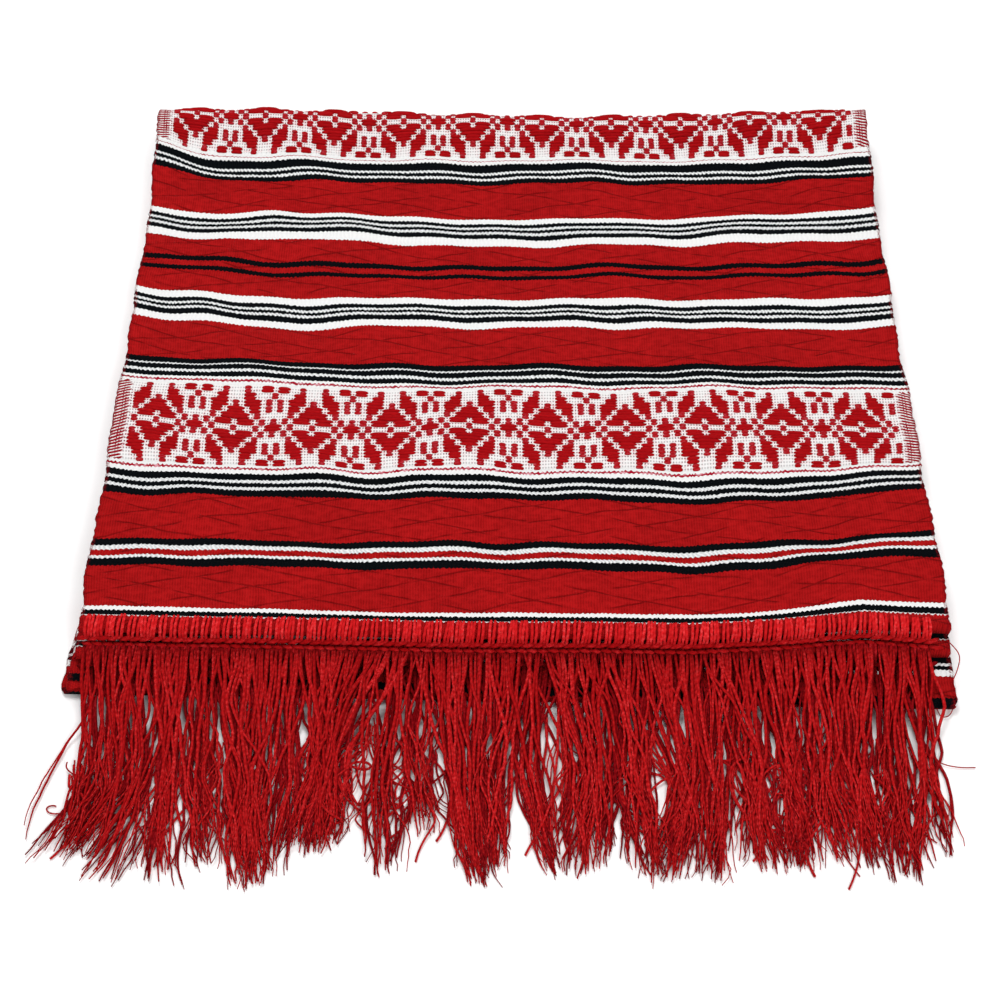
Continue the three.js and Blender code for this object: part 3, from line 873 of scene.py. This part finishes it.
def rings_to_faces(mesh, first, rings, around):
    """Side faces and two end caps of one tube."""
    for r in range(rings - 1):
        for k in range(around):
            a = first + r * around + k
            b = first + r * around + (k + 1) % around
            mesh.faces.append((a, b, b + around, a + around))
    mesh.faces.append(tuple(first + k for k in reversed(range(around))))
    mesh.faces.append(tuple(first + (rings - 1) * around + k for k in range(around)))


def unit(vectors):
    return vectors / np.maximum(np.linalg.norm(vectors, axis=-1, keepdims=True), 1e-9)


def yarn_piece(mesh, name, finish):
    """Tubes of yarn as one object, which lies still with the towel."""
    piece = mesh.object(name, finish)
    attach(piece, "root")
    return piece


def yarns(name, finish, lines, radii, around, aside, plies=0.0, twist=7.0, tuck=0.0, shade=0.0):
    """Tubes round many lines of equal length. aside is a direction that no line runs in."""
    mesh = Mesh()
    lines = np.asarray(lines, float)
    count, rings, _ = lines.shape
    forward = unit(np.gradient(lines, axis=1))
    sideways = np.asarray(aside, float) - forward * (forward @ np.asarray(aside, float))[..., None]
    sideways = unit(sideways)
    upward = np.cross(sideways, forward)
    run = np.concatenate([np.zeros((count, 1)),
                          np.cumsum(np.linalg.norm(np.diff(lines, axis=1), axis=2), axis=1)], axis=1)
    angle = 2 * np.pi * np.arange(around) / around
    lobes = 1.0 + plies * np.cos(2 * (angle[None, None, :] - 2 * np.pi * run[..., None] / twist))
    radius = np.broadcast_to(radii, (count, rings))[..., None] * lobes
    points = (lines[:, :, None, :]
              + radius[..., None] * np.cos(angle)[None, None, :, None] * sideways[:, :, None, :]
              + radius[..., None] * np.sin(angle)[None, None, :, None] * upward[:, :, None, :])
    stored = {
        "run": run[..., None],
        "turn": angle / (2 * np.pi),
        "shade": np.reshape(np.asarray(shade, float), (-1, 1, 1)),
        # Painted shade: how far each ring is darkened where the yarn is tucked away.
        "tuck": np.broadcast_to(tuck, (count, rings))[..., None],
    }
    stored = {key: np.broadcast_to(value, (count, rings, around)) for key, value in stored.items()}
    for i in range(count):
        first = mesh.add(points[i], **{key: value[i].ravel() for key, value in stored.items()})
        rings_to_faces(mesh, first, rings, around)
    return yarn_piece(mesh, name, finish)


# %% Star floats
FLOAT_HALF_HEIGHT = 0.98
FLOAT_SWELL = 0.42
COLUMN_SWELL = 0.12
MOST_COLUMN_SWELL = 0.55
FLOAT_BLUNT = 3.2
FLOAT_CLEAR = 0.02
FLOAT_OVERHANG = 0.3
FLOAT_AROUND = np.radians([0, 45, 90, 135, 180])
FLOAT_SUNK = 0.35


def runs_of(pick):
    """First and last column of each float in one pick."""
    found = []
    start = None
    for column in range(first_column, last_column + 2):
        red = column <= last_column and is_float(column, pick)
        if red and start is None:
            start = column
        if not red and start is not None:
            found.append((start, column - 1))
            start = None
    return found


def star_band(name, centre, seed, loft):
    """One band of floats. loft is 1 where they stand free, less where the towel presses them."""
    mesh = Mesh()
    chance = random.Random(seed)
    half = CLOTH_WIDTH / 2
    for pick in range(PICKS):
        for start, end in runs_of(pick):
            columns = end - start + 1
            left = column_x(start - 0.5) - FLOAT_OVERHANG + chance.uniform(-0.2, 0.2)
            right = column_x(end + 0.5) + FLOAT_OVERHANG + chance.uniform(-0.2, 0.2)
            middle = centre + (pick - (PICKS - 1) / 2) * PICK_PITCH + chance.uniform(-0.12, 0.12)
            swell = FLOAT_SWELL + min(COLUMN_SWELL * columns, MOST_COLUMN_SWELL)
            swell *= chance.uniform(0.8, 1.2) * loft
            rings = 5 + columns
            u = np.sin(np.linspace(-1.0, 1.0, rings) * math.pi / 2)
            size = np.sqrt(np.clip(1.0 - np.abs(u) ** FLOAT_BLUNT, 0.0, 1.0)) * (1 - EDGE_RING) + EDGE_RING
            x = ((left + right) / 2 + (right - left) / 2 * u)[:, None]
            t = middle + size[:, None] * FLOAT_HALF_HEIGHT * np.cos(FLOAT_AROUND)[None, :]
            lift = size[:, None] * swell * np.sin(FLOAT_AROUND)[None, :] + FLOAT_CLEAR
            lift[:, [0, -1]] = -FLOAT_SUNK
            points = on_cloth(np.broadcast_to(x, t.shape) / half, t, lift)
            first = mesh.add(points, across=np.broadcast_to(x, t.shape).ravel(), along=t.ravel(),
                             single=float(columns == 1), shade=chance.random())
            rings_to_faces(mesh, first, rings, len(FLOAT_AROUND))
    return yarn_piece(mesh, name, float_finish)


floats = Finish("float_yarn_finish")
float_x, float_t = floats.stored("across"), floats.stored("along")
streak = floats.cloud(floats.place(float_x * 0.35, float_t * 2.6), 1.5, 3.0)
hair = floats.cloud(floats.place(float_x * 1.2, float_t * 1.2), 4.0)
split = floats.cloud(floats.place(float_x * 0.3, float_t * 2.2), 2.0).ramp(0.5, 0.68)
float_red = floats.blend(streak, dyed(112, 1, 4), dyed(200, 20, 26))
float_red = floats.blend(floats.stored("shade") * 0.35, float_red, dyed(132, 2, 8))
float_red = floats.blend(floats.stored("single") * split * 0.5, float_red, dyed(206, 92, 108))
float_finish = floats.done(float_red, 0.95, streak + hair * 0.4, 0.24)
BANDS = [("star_band_front", 21, 1.1), ("star_band_back", 22, 1.5), ("star_band_below", 23, 0.35)]
star_bands = [star_band(name, centre, seed, loft)
              for (name, seed, loft), centre in zip(BANDS, band_centres)]
print({piece.name: len(piece.data.polygons) for piece in star_bands})

# %% [markdown]
# The fringe is worked on with loose yarn. Bunches of it go through the cloth behind the hem and
# wrap over the rolled edge, and a crocheted chain locks them on the front. All of it is real yarn
# here with a two-ply twist, two or three yarns side by side in a bunch.

# %% The yarn's finish
PLY_PITCH = 2.3


def yarn_finish(name, dark, light, tip):
    """Twisted yarn, with painted highlights on its fibres and painted shade where it is tucked under its
    neighbours.
    """
    yarn = Finish(name)
    run, turn, shade = yarn.stored("run"), yarn.stored("turn"), yarn.stored("shade")
    place = yarn.node("ShaderNodeTexCoord", output="Object")
    fibres = yarn.cloud(place, 1100.0, 3.0)
    ply = raised(((run / PLY_PITCH + turn * 2.0 + shade * 9.0) * (2 * math.pi)).sine())
    colour = yarn.blend(ply * 0.34 + fibres * 0.5 + 0.1, dyed(*dark), dyed(*light))
    # Painted highlight: flecks of the light tip colour stand for the sheen on loose fibres, fewer on
    # darker yarns.
    colour = yarn.blend(fibres.ramp(0.42, 0.8) * (1.0 - shade) * 0.7, colour, dyed(*tip))
    colour = yarn.blend(shade * 0.5, colour, dyed(*dark))
    # Painted shade: the yarn turns near black where it is tucked under its neighbours.
    colour = yarn.blend(yarn.stored("tuck"), colour, dyed(46, 0, 0))
    return yarn.done(colour, 0.95, ply * 0.7 + fibres, 0.2)


# Painted light: the loops' yarn is a lighter copy of the strands' red yarn, for the light on their front
# faces.
lit_loop_finish = yarn_finish("lit_loop_yarn_finish", (172, 12, 16), (230, 38, 42), (240, 84, 86))
# Painted shade: the chain's yarn is a darker copy of the same red yarn, for its place tucked under the
# loops.
shaded_chain_finish = yarn_finish("shaded_chain_yarn_finish", (142, 3, 6), (198, 24, 28), (214, 54, 58))
strand_finish = yarn_finish("strand_yarn_finish", (124, 2, 5), (212, 27, 30), (232, 66, 68))
# Painted shade: the under loops, chain and strands get a darker copy of the same red yarn, for the shadow
# they lie in.
shaded_under_finish = yarn_finish("shaded_under_yarn_finish", (100, 0, 5), (164, 15, 22), (192, 42, 48))

# %% Bunches of loops
TRIM_LEFT_X = -145.2
TRIM_RIGHT_X = 145.0
BUNCHES = 80
LOOP_YARN = 0.52
LOOP_FOOT = 1.6
LOOP_RINGS = 14
YARN_AROUND = 8
LOOP_ARC = (222.0, 64.0)
LOOP_LEAN = ([-145, 60, 145], [1.3, 1.1, 0.1])
LOOP_END_SUNK = 1.0
TRIPLE_SHARE = 0.6
PAIR_FAT = 1.36
FULL_TURN = 6.28
bunch_pitch = (TRIM_RIGHT_X - TRIM_LEFT_X) / BUNCHES
bunch_x = TRIM_LEFT_X + bunch_pitch * (np.arange(BUNCHES) + 0.5)


def hem_place(hem, x):
    """The middle of a hem at x, as y and z."""
    layer = LAYERS[hem["layer"]]
    return hem["y"] + layer["bow"] * bow_at(x), hem["z"] + layer["wave"] * wave_at(x, hem["y"])


def bunch_lines(hem, chance):
    """Yarns that rise from the chain, cross the hem and end in the cloth behind it."""
    lines = []
    share = np.linspace(0.0, 1.0, LOOP_RINGS)
    for x in bunch_x:
        side_by_side = 3 if chance.random() < TRIPLE_SHARE else 2
        fat = 1.0 if side_by_side == 3 else PAIR_FAT
        lean = np.interp(x, *LOOP_LEAN) + chance.uniform(-0.4, 0.4)
        reach = chance.uniform(-7.0, 5.0)
        x = x + chance.uniform(-0.2, 0.2)
        y0, z0 = hem_place(hem, x)
        for k in range(side_by_side):
            aside = (k - (side_by_side - 1) / 2) * LOOP_YARN * 2.0 * fat
            end = LOOP_ARC[1] + reach + chance.uniform(-2, 2)
            a = np.radians(np.linspace(LOOP_ARC[0], end, LOOP_RINGS))
            gather = 1.0 - 0.15 * share ** 3 + 0.1 * (1 - share) ** 2
            away = LOOP_YARN * (1.0 + 0.45 * np.sin(math.pi * share)) * fat + chance.uniform(-0.1, 0.15)
            away = away + LOOP_FOOT * np.exp(-share / 0.2)
            wander = 0.14 * np.sin(share * 6.0 + chance.uniform(0, FULL_TURN))
            px = x + aside * gather + lean * (share - 0.5) + wander
            py = y0 + (HEM_HALF_DEPTH + away) * np.cos(a)
            pz = z0 + (HEM_HALF_HEIGHT + away) * np.sin(a)
            pz[-1] -= LOOP_END_SUNK
            lines.append(np.stack([px, py, pz], axis=1))
    return np.array(lines)


def bunches(name, hem, seed, finish):
    chance = random.Random(seed)
    lines = bunch_lines(hem, chance)
    share = np.linspace(0.0, 1.0, LOOP_RINGS)
    radii = LOOP_YARN * (0.8 + 0.3 * np.sin(math.pi * share) ** 0.5)
    radii[-1] *= 0.6
    shades = [chance.random() for _ in lines]
    # Painted shade at the foot of each loop, where it meets the chain.
    tuck = 0.4 * np.exp(-share / 0.1)
    return yarns(name, finish, lines, radii, YARN_AROUND, (1, 0, 0), plies=0.1, twist=5.0,
                 tuck=tuck, shade=shades)


upper_bunches = bunches("upper_loop_bunches", UPPER_HEM, 31, lit_loop_finish)
under_bunches = bunches("under_loop_bunches", UNDER_HEM, 32, shaded_under_finish)
print("loops", len(upper_bunches.data.polygons), "faces")

# %% [markdown]
# A crocheted chain is a row of links, each drawn through the last. From the front its two legs
# look like two rows of long drops that overlap. Each leg is a short curved yarn here, thin where
# it is drawn through its neighbour, and darkened there by painted shade.

# %% The crocheted chain
LINK_LENGTH = 5.6
LINK_YARN = 0.82
LEGS = [
    {"side": 1, "out": 1.6, "drop": 1.7, "start": 0.0},
    {"side": -1, "out": 2.5, "drop": 3.25, "start": 0.5},
]
LEG_TILT = 0.5
LEG_BULGE = 0.55
LEG_RINGS = 11


def chain(name, hem, seed, finish):
    chance = random.Random(seed)
    share = np.linspace(-1.0, 1.0, LEG_RINGS)
    bulge = np.cos(share * math.pi / 2)
    lines, shades = [], []
    for i in range(BUNCHES + 1):
        for leg in LEGS:
            x = TRIM_LEFT_X + bunch_pitch * (i + leg["start"]) + chance.uniform(-0.25, 0.25)
            y0, z0 = hem_place(hem, x)
            length = LINK_LENGTH / 2 * chance.uniform(0.9, 1.08)
            tilt = leg["side"] * LEG_TILT + chance.uniform(-0.2, 0.2)
            px = x + share * length
            py = y0 - HEM_HALF_DEPTH - leg["out"] - LEG_BULGE * bulge + 0.35 * share + 0.3
            pz = z0 - leg["drop"] + tilt * share + 0.35 * leg["side"] * bulge + chance.uniform(-0.15, 0.15)
            lines.append(np.stack([px, py, pz], axis=1))
            shades.append(chance.random())
    radii = LINK_YARN * (0.4 + 0.6 * bulge ** 0.7)
    # Painted shade at both ends of each leg, where it is drawn through its neighbour.
    tuck = 0.8 * np.abs(share) ** 3
    return yarns(name, finish, lines, radii, YARN_AROUND, (0, 0, 1), plies=0.08, twist=4.0,
                 tuck=tuck, shade=shades)


upper_chain = chain("upper_chain", UPPER_HEM, 41, shaded_chain_finish)
under_chain = chain("under_chain", UNDER_HEM, 42, shaded_under_finish)
print("chain", len(upper_chain.data.polygons), "faces")

# %% [markdown]
# The strands hang from the chain and then lie on the table. They gather in locks: some sweep to
# the left, some part and leave the table bare. A list gives each lock's roots, its waist and its
# tips. Every strand takes its own way through its lock. Some bow to the side, and a few stray.

# %% Where the locks lie
# Where its roots start and end, its waist's x, y and half width, its tips' x, half width and y
LOCKS = [
    ((-145, -138), (-140.5, -146, 3.5), (-146, 8, -176)),
    ((-140, -127), (-131, -146, 4.5), (-140, 5, -174)),
    ((-129, -116), (-121.5, -146, 3.5), (-133, 6, -181)),
    ((-121, -110), (-112.5, -138, 3.0), (-113, 5.5, -182)),
    ((-111, -101), (-103, -138, 3.0), (-99, 3, -177)),
    ((-101, -86), (-89, -142, 4.0), (-84, 3.5, -184)),
    ((-91, -75), (-84, -148, 3.5), (-81, 4, -183)),
    ((-82, -71), (-73.5, -146, 2.5), (-75, 4, -178)),
    ((-73, -60), (-63.5, -142, 3.0), (-65, 3, -172)),
    ((-60, -39), (-59, -132, 6.0), (-61, 7, -171)),
    ((-40, -33), (-40, -142, 2.4), (-39.5, 2.5, -179)),
    ((-34, -26), (-29.5, -142, 2.6), (-28, 3, -165)),
    ((-27, -16), (-18, -140, 3.0), (-9.5, 3, -183)),
    ((-17, -6), (-10.5, -146, 2.6), (-7.5, 3, -183)),
    ((-7, 4), (-3.5, -142, 2.6), (-4.5, 3, -177)),
    ((4, 12), (6, -138, 2.0), (14, 2.5, -179)),
    ((12, 30), (26.5, -142, 3.2), (23, 4, -180)),
    ((26, 38), (35, -140, 2.8), (32.5, 3.5, -175)),
    ((34, 48), (42, -142, 3.0), (45.5, 3.5, -179)),
    ((48, 66), (60.5, -142, 3.4), (54, 7, -181)),
    ((62, 73), (67.5, -146, 3.0), (65, 4, -182)),
    ((73, 84), (82, -142, 2.8), (82.5, 4, -179)),
    ((84, 97), (93, -130, 3.2), (93.5, 4, -175)),
    ((92, 101), (99, -142, 2.4), (94.5, 4, -177)),
    ((101, 111), (106, -142, 2.8), (109, 5, -174)),
    ((111, 125), (115.5, -140, 3.2), (118, 4, -176)),
    ((125, 135), (124.5, -140, 3.0), (127.5, 5, -183)),
    ((134, 144), (135.5, -136, 3.4), (130.5, 5, -181)),
    ((138, 144), (140.5, -146, 2.0), (142.5, 3, -176)),
]
STRAND_RINGS = 30
STRAND_AROUND = 5
STRAND_YARN = 0.64
FALL = {
    "upper": {"y": [-99.1, -103, -109, -115.5, -122, -129, -140, -190],
              "z": [10.5, 10.2, 8.6, 6.4, 3.8, 1.6, 0.8, 0.6], "pile": 3.2},
    "under": {"y": [-101.2, -108, -115.5, -120.5, -128, -190],
              "z": [5.9, 5.9, 5.7, 3.0, 0.8, 0.5], "pile": 0.7},
}
FLOOR_TIP_LIMIT = -188.0
STRAND_FLOOR = 0.68
STRAY_WAIST = 5
STRAY_TIP = 11
TIP_SPREAD = 1.3
TIP_UNEVEN = 7.0
PILE_LONG = 24.0
PLY_START = 0.35
PLY_YARN = 0.3
PLY_FLOOR = 0.45
CROSSING_SHARE = 0.34
BOW_SHARE = 0.14
BOW_SIDE = 5.0


def wiggle(chance, share, size, turns):
    """A smooth random walk to the side, still at the root."""
    total = np.zeros_like(share)
    for k in range(1, 4):
        rate = turns * k * chance.uniform(0.7, 1.3)
        total += chance.gauss(0, 1) / k * np.sin(2 * math.pi * rate * share + chance.uniform(0, FULL_TURN))
    return size * (total - total[0])


def strand_line(chance, lock, root_x, hem, fall, stray):
    """One strand, from its root through its lock's waist to its tip."""
    share = np.linspace(0.0, 1.0, STRAND_RINGS)
    (low, high), (waist_x, waist_y, waist_half), (tip_x, tip_half, tip_y) = lock
    across = (root_x - low) / (high - low) * 2 - 1
    spot = 0.6 * across + 0.5 * chance.uniform(-1, 1)
    waist = waist_x + waist_half * spot * (1.0 + stray) + stray * chance.uniform(-STRAY_WAIST, STRAY_WAIST)
    tip = tip_x + TIP_SPREAD * tip_half * (0.5 * spot + 0.5 * chance.uniform(-1, 1))
    tip = tip + stray * chance.uniform(-STRAY_TIP, STRAY_TIP)
    end_y = max(tip_y - 2.0 + abs(chance.gauss(0, TIP_UNEVEN)), FLOOR_TIP_LIMIT)
    end_y = end_y + stray * chance.uniform(-2, 14)
    root_y = fall["y"][0] + hem_place(hem, root_x)[0] - hem["y"]
    y = root_y + (end_y - root_y) * share
    down = (root_y - y) / (root_y - waist_y)
    near = 0.4 * np.clip(down * 0.95, 0.0, 1.0) + 0.6 * ease(down * 0.95)
    after = np.clip((waist_y - y) / (waist_y - end_y), 0.0, 1.0)
    x = root_x + (waist - root_x) * near + (tip - waist) * after ** 1.35
    bow = BOW_SIDE if chance.random() < BOW_SHARE else 1.0
    x = x + bow * chance.uniform(-1, 1) * np.sin(math.pi * share ** 0.8) ** 2
    x = x + wiggle(chance, share, 1.5 + 0.8 * stray, 0.75) * ease(share * 3.5)
    x = x + wiggle(chance, share, 0.22 + 0.2 * stray, 4.0) * ease(share * 2.0)
    y = y + wiggle(chance, share, 0.5, 2.5) * ease(share * 1.4)
    z = np.interp(y, fall["y"][::-1], fall["z"][::-1]) + hem_place(hem, root_x)[1] - hem["z"]
    pile = fall["pile"] * chance.random()
    z = z + pile * (0.35 * (1 - share) + np.exp(-((y - waist_y) / PILE_LONG) ** 2)) * ease(share * 4.0)
    z = z + np.abs(wiggle(chance, share, 0.3, 3.0)) * share
    return np.stack([x, y, np.maximum(z, STRAND_FLOOR)], axis=1)


def ply_of(chance, line):
    """One ply that comes loose from its strand on the way down and frays away from it."""
    share = np.linspace(0.0, 1.0, STRAND_RINGS)
    loose = ease((share - PLY_START * chance.uniform(0.7, 1.6)) / 0.6)
    ply = line.copy()
    ply[:, 0] += loose * chance.gauss(0, 2.6) + loose * wiggle(chance, share, 0.9, 2.4)
    ply[:, 1] += loose * chance.uniform(-3.0, 6.0)
    ply[:, 1] = np.maximum(ply[:, 1], FLOOR_TIP_LIMIT)
    ply[:, 2] = np.maximum(ply[:, 2] + loose * chance.uniform(-0.5, 1.2), PLY_FLOOR)
    return ply


def lock_for(chance, x):
    """Most strands join the lock below them, and some cross over to the next one."""
    reach = 9.0 if chance.random() < CROSSING_SHARE else 1.5
    return chance.choice([lock for lock in LOCKS if lock[0][0] - reach <= x <= lock[0][1] + reach])


def strands(name, hem, fall, per_bunch, ply_share, stray_share, seed, finish):
    chance = random.Random(seed)
    share = np.linspace(0.0, 1.0, STRAND_RINGS)
    taper = np.interp(share, [0, 0.1, 0.55, 0.85, 1.0], [0.85, 1.0, 0.9, 0.72, 0.36])
    lines, radii, shades = [], [], []
    for x in bunch_x:
        for k in range(per_bunch):
            root = x + (k - (per_bunch - 1) / 2) * bunch_pitch / per_bunch + chance.uniform(-0.8, 0.8)
            stray = chance.uniform(0.4, 1.0) if chance.random() < stray_share else 0.0
            line = strand_line(chance, lock_for(chance, root), root, hem, fall, stray)
            lines.append(line)
            thin = chance.uniform(0.78, 1.12) * (0.7 if stray > 0.5 else 1.0)
            radii.append(taper * STRAND_YARN * thin)
            shades.append(chance.random())
            if chance.random() < ply_share:
                lines.append(ply_of(chance, line))
                radii.append(PLY_YARN * np.interp(share, [0, 0.8, 1.0], [1.0, 0.9, 0.5]))
                shades.append(chance.uniform(0.0, 0.4))
    # Painted shade just below the chain, at the root of each strand.
    tuck = 0.55 * np.exp(-share / 0.06)
    piece = yarns(name, finish, lines, np.array(radii), STRAND_AROUND, (1, 0, 0), tuck=tuck, shade=shades)
    print(name, len(lines), "yarns,", len(piece.data.polygons), "faces")
    return piece


upper_strands = strands("upper_strands", UPPER_HEM, FALL["upper"], 4, 0.9, 0.1, 51, strand_finish)
under_strands = strands("under_strands", UNDER_HEM, FALL["under"], 4, 0.8, 0.3, 52, shaded_under_finish)
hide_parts("fringe_upper")
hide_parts("fringe_under")

# %% [markdown]
# Some threads have come loose. They curl on the table in the gaps between the locks, and three lie
# by the right end of the fringe. Each group has its place, its reach and how tightly it curls.

# %% Loose threads
# Its x, half width, number of threads, radius, y and length
CURL_GROUPS = [
    (-54, 11, 22, 7.0, -120, 40), (-140, 7, 8, 5.5, -136, 28), (-101, 14, 9, 4.0, -126, 40),
    (-28, 9, 7, 4.0, -124, 40), (20, 7, 10, 3.6, -118, 46), (54, 9, 14, 5.0, -124, 40),
    (90, 17, 28, 6.0, -128, 40), (128, 9, 10, 4.0, -128, 42),
]
CURL_RINGS = 34
CURL_YARN = 0.42
THREAD_YARN = 0.2
THREAD_SMOOTHING = 12
THREADS = [
    [(150.6, -94.8, 12), (154.1, -97.6, 10), (155.3, -99.5, 8), (154.0, -103.2, 5), (152.1, -106.4, 4),
     (151.5, -109.4, 4)],
    [(145.8, -116.6, 2), (146.9, -119.5, 1), (150.0, -118.9, 1), (151.7, -115.6, 2), (150.5, -112.0, 4)],
    [(140.8, -130.5, 1.5), (141.8, -136.5, 1), (146.7, -138.9, 0.8), (151.7, -139.5, 0.6),
     (155.8, -139.3, 0.5)],
]


def curl_line(chance, x, wide, radius, y, long):
    share = np.linspace(0.0, 1.0, CURL_RINGS)
    radius = radius * chance.uniform(0.4, 1.2)
    turn = 2 * math.pi * chance.uniform(0.5, 1.4) * chance.choice((-1, 1)) * share
    turn = turn + chance.uniform(0, FULL_TURN)
    x = x + wide * chance.uniform(-1, 1) + chance.uniform(-5, 5) * share
    y = y - long * chance.uniform(0.6, 1.1) * share - chance.uniform(0, 8)
    x = x + radius * (np.sin(turn) - np.sin(turn[0])) * ease(share * 2.0)
    y = y + radius * (np.cos(turn) - np.cos(turn[0])) * ease(share * 2.0)
    z = 0.55 + chance.uniform(0.0, 2.5) * np.sin(share * math.pi) ** 2 + 2.0 * (1 - ease(share * 4.0))
    return np.stack([x, np.maximum(y, FLOOR_TIP_LIMIT), z], axis=1)


def thread_line(points):
    """A smooth line through a few points."""
    points = np.array(points, float)
    rough = np.linspace(0, len(points) - 1, CURL_RINGS)
    line = np.stack([np.interp(rough, range(len(points)), points[:, i]) for i in range(3)], axis=1)
    for _ in range(THREAD_SMOOTHING):
        line[1:-1] = (line[:-2] + 2 * line[1:-1] + line[2:]) / 4
    return line


curl_chance = random.Random(61)
curls = [curl_line(curl_chance, x, wide, radius, y, long)
         for x, wide, count, radius, y, long in CURL_GROUPS for _ in range(count)]
curl_radii = [CURL_YARN * curl_chance.uniform(0.6, 1.2) * np.ones(CURL_RINGS) for _ in curls]
curls += [thread_line(points) for points in THREADS]
curl_radii += [THREAD_YARN * np.ones(CURL_RINGS) for _ in THREADS]
curl_shades = [curl_chance.uniform(0.0, 0.6) for _ in curls]
loose_threads = yarns("loose_threads", strand_finish, curls, np.array(curl_radii), STRAND_AROUND,
                      (0, 0, 1), shade=curl_shades)
print("loose threads", len(curls), "faces", len(loose_threads.data.polygons))
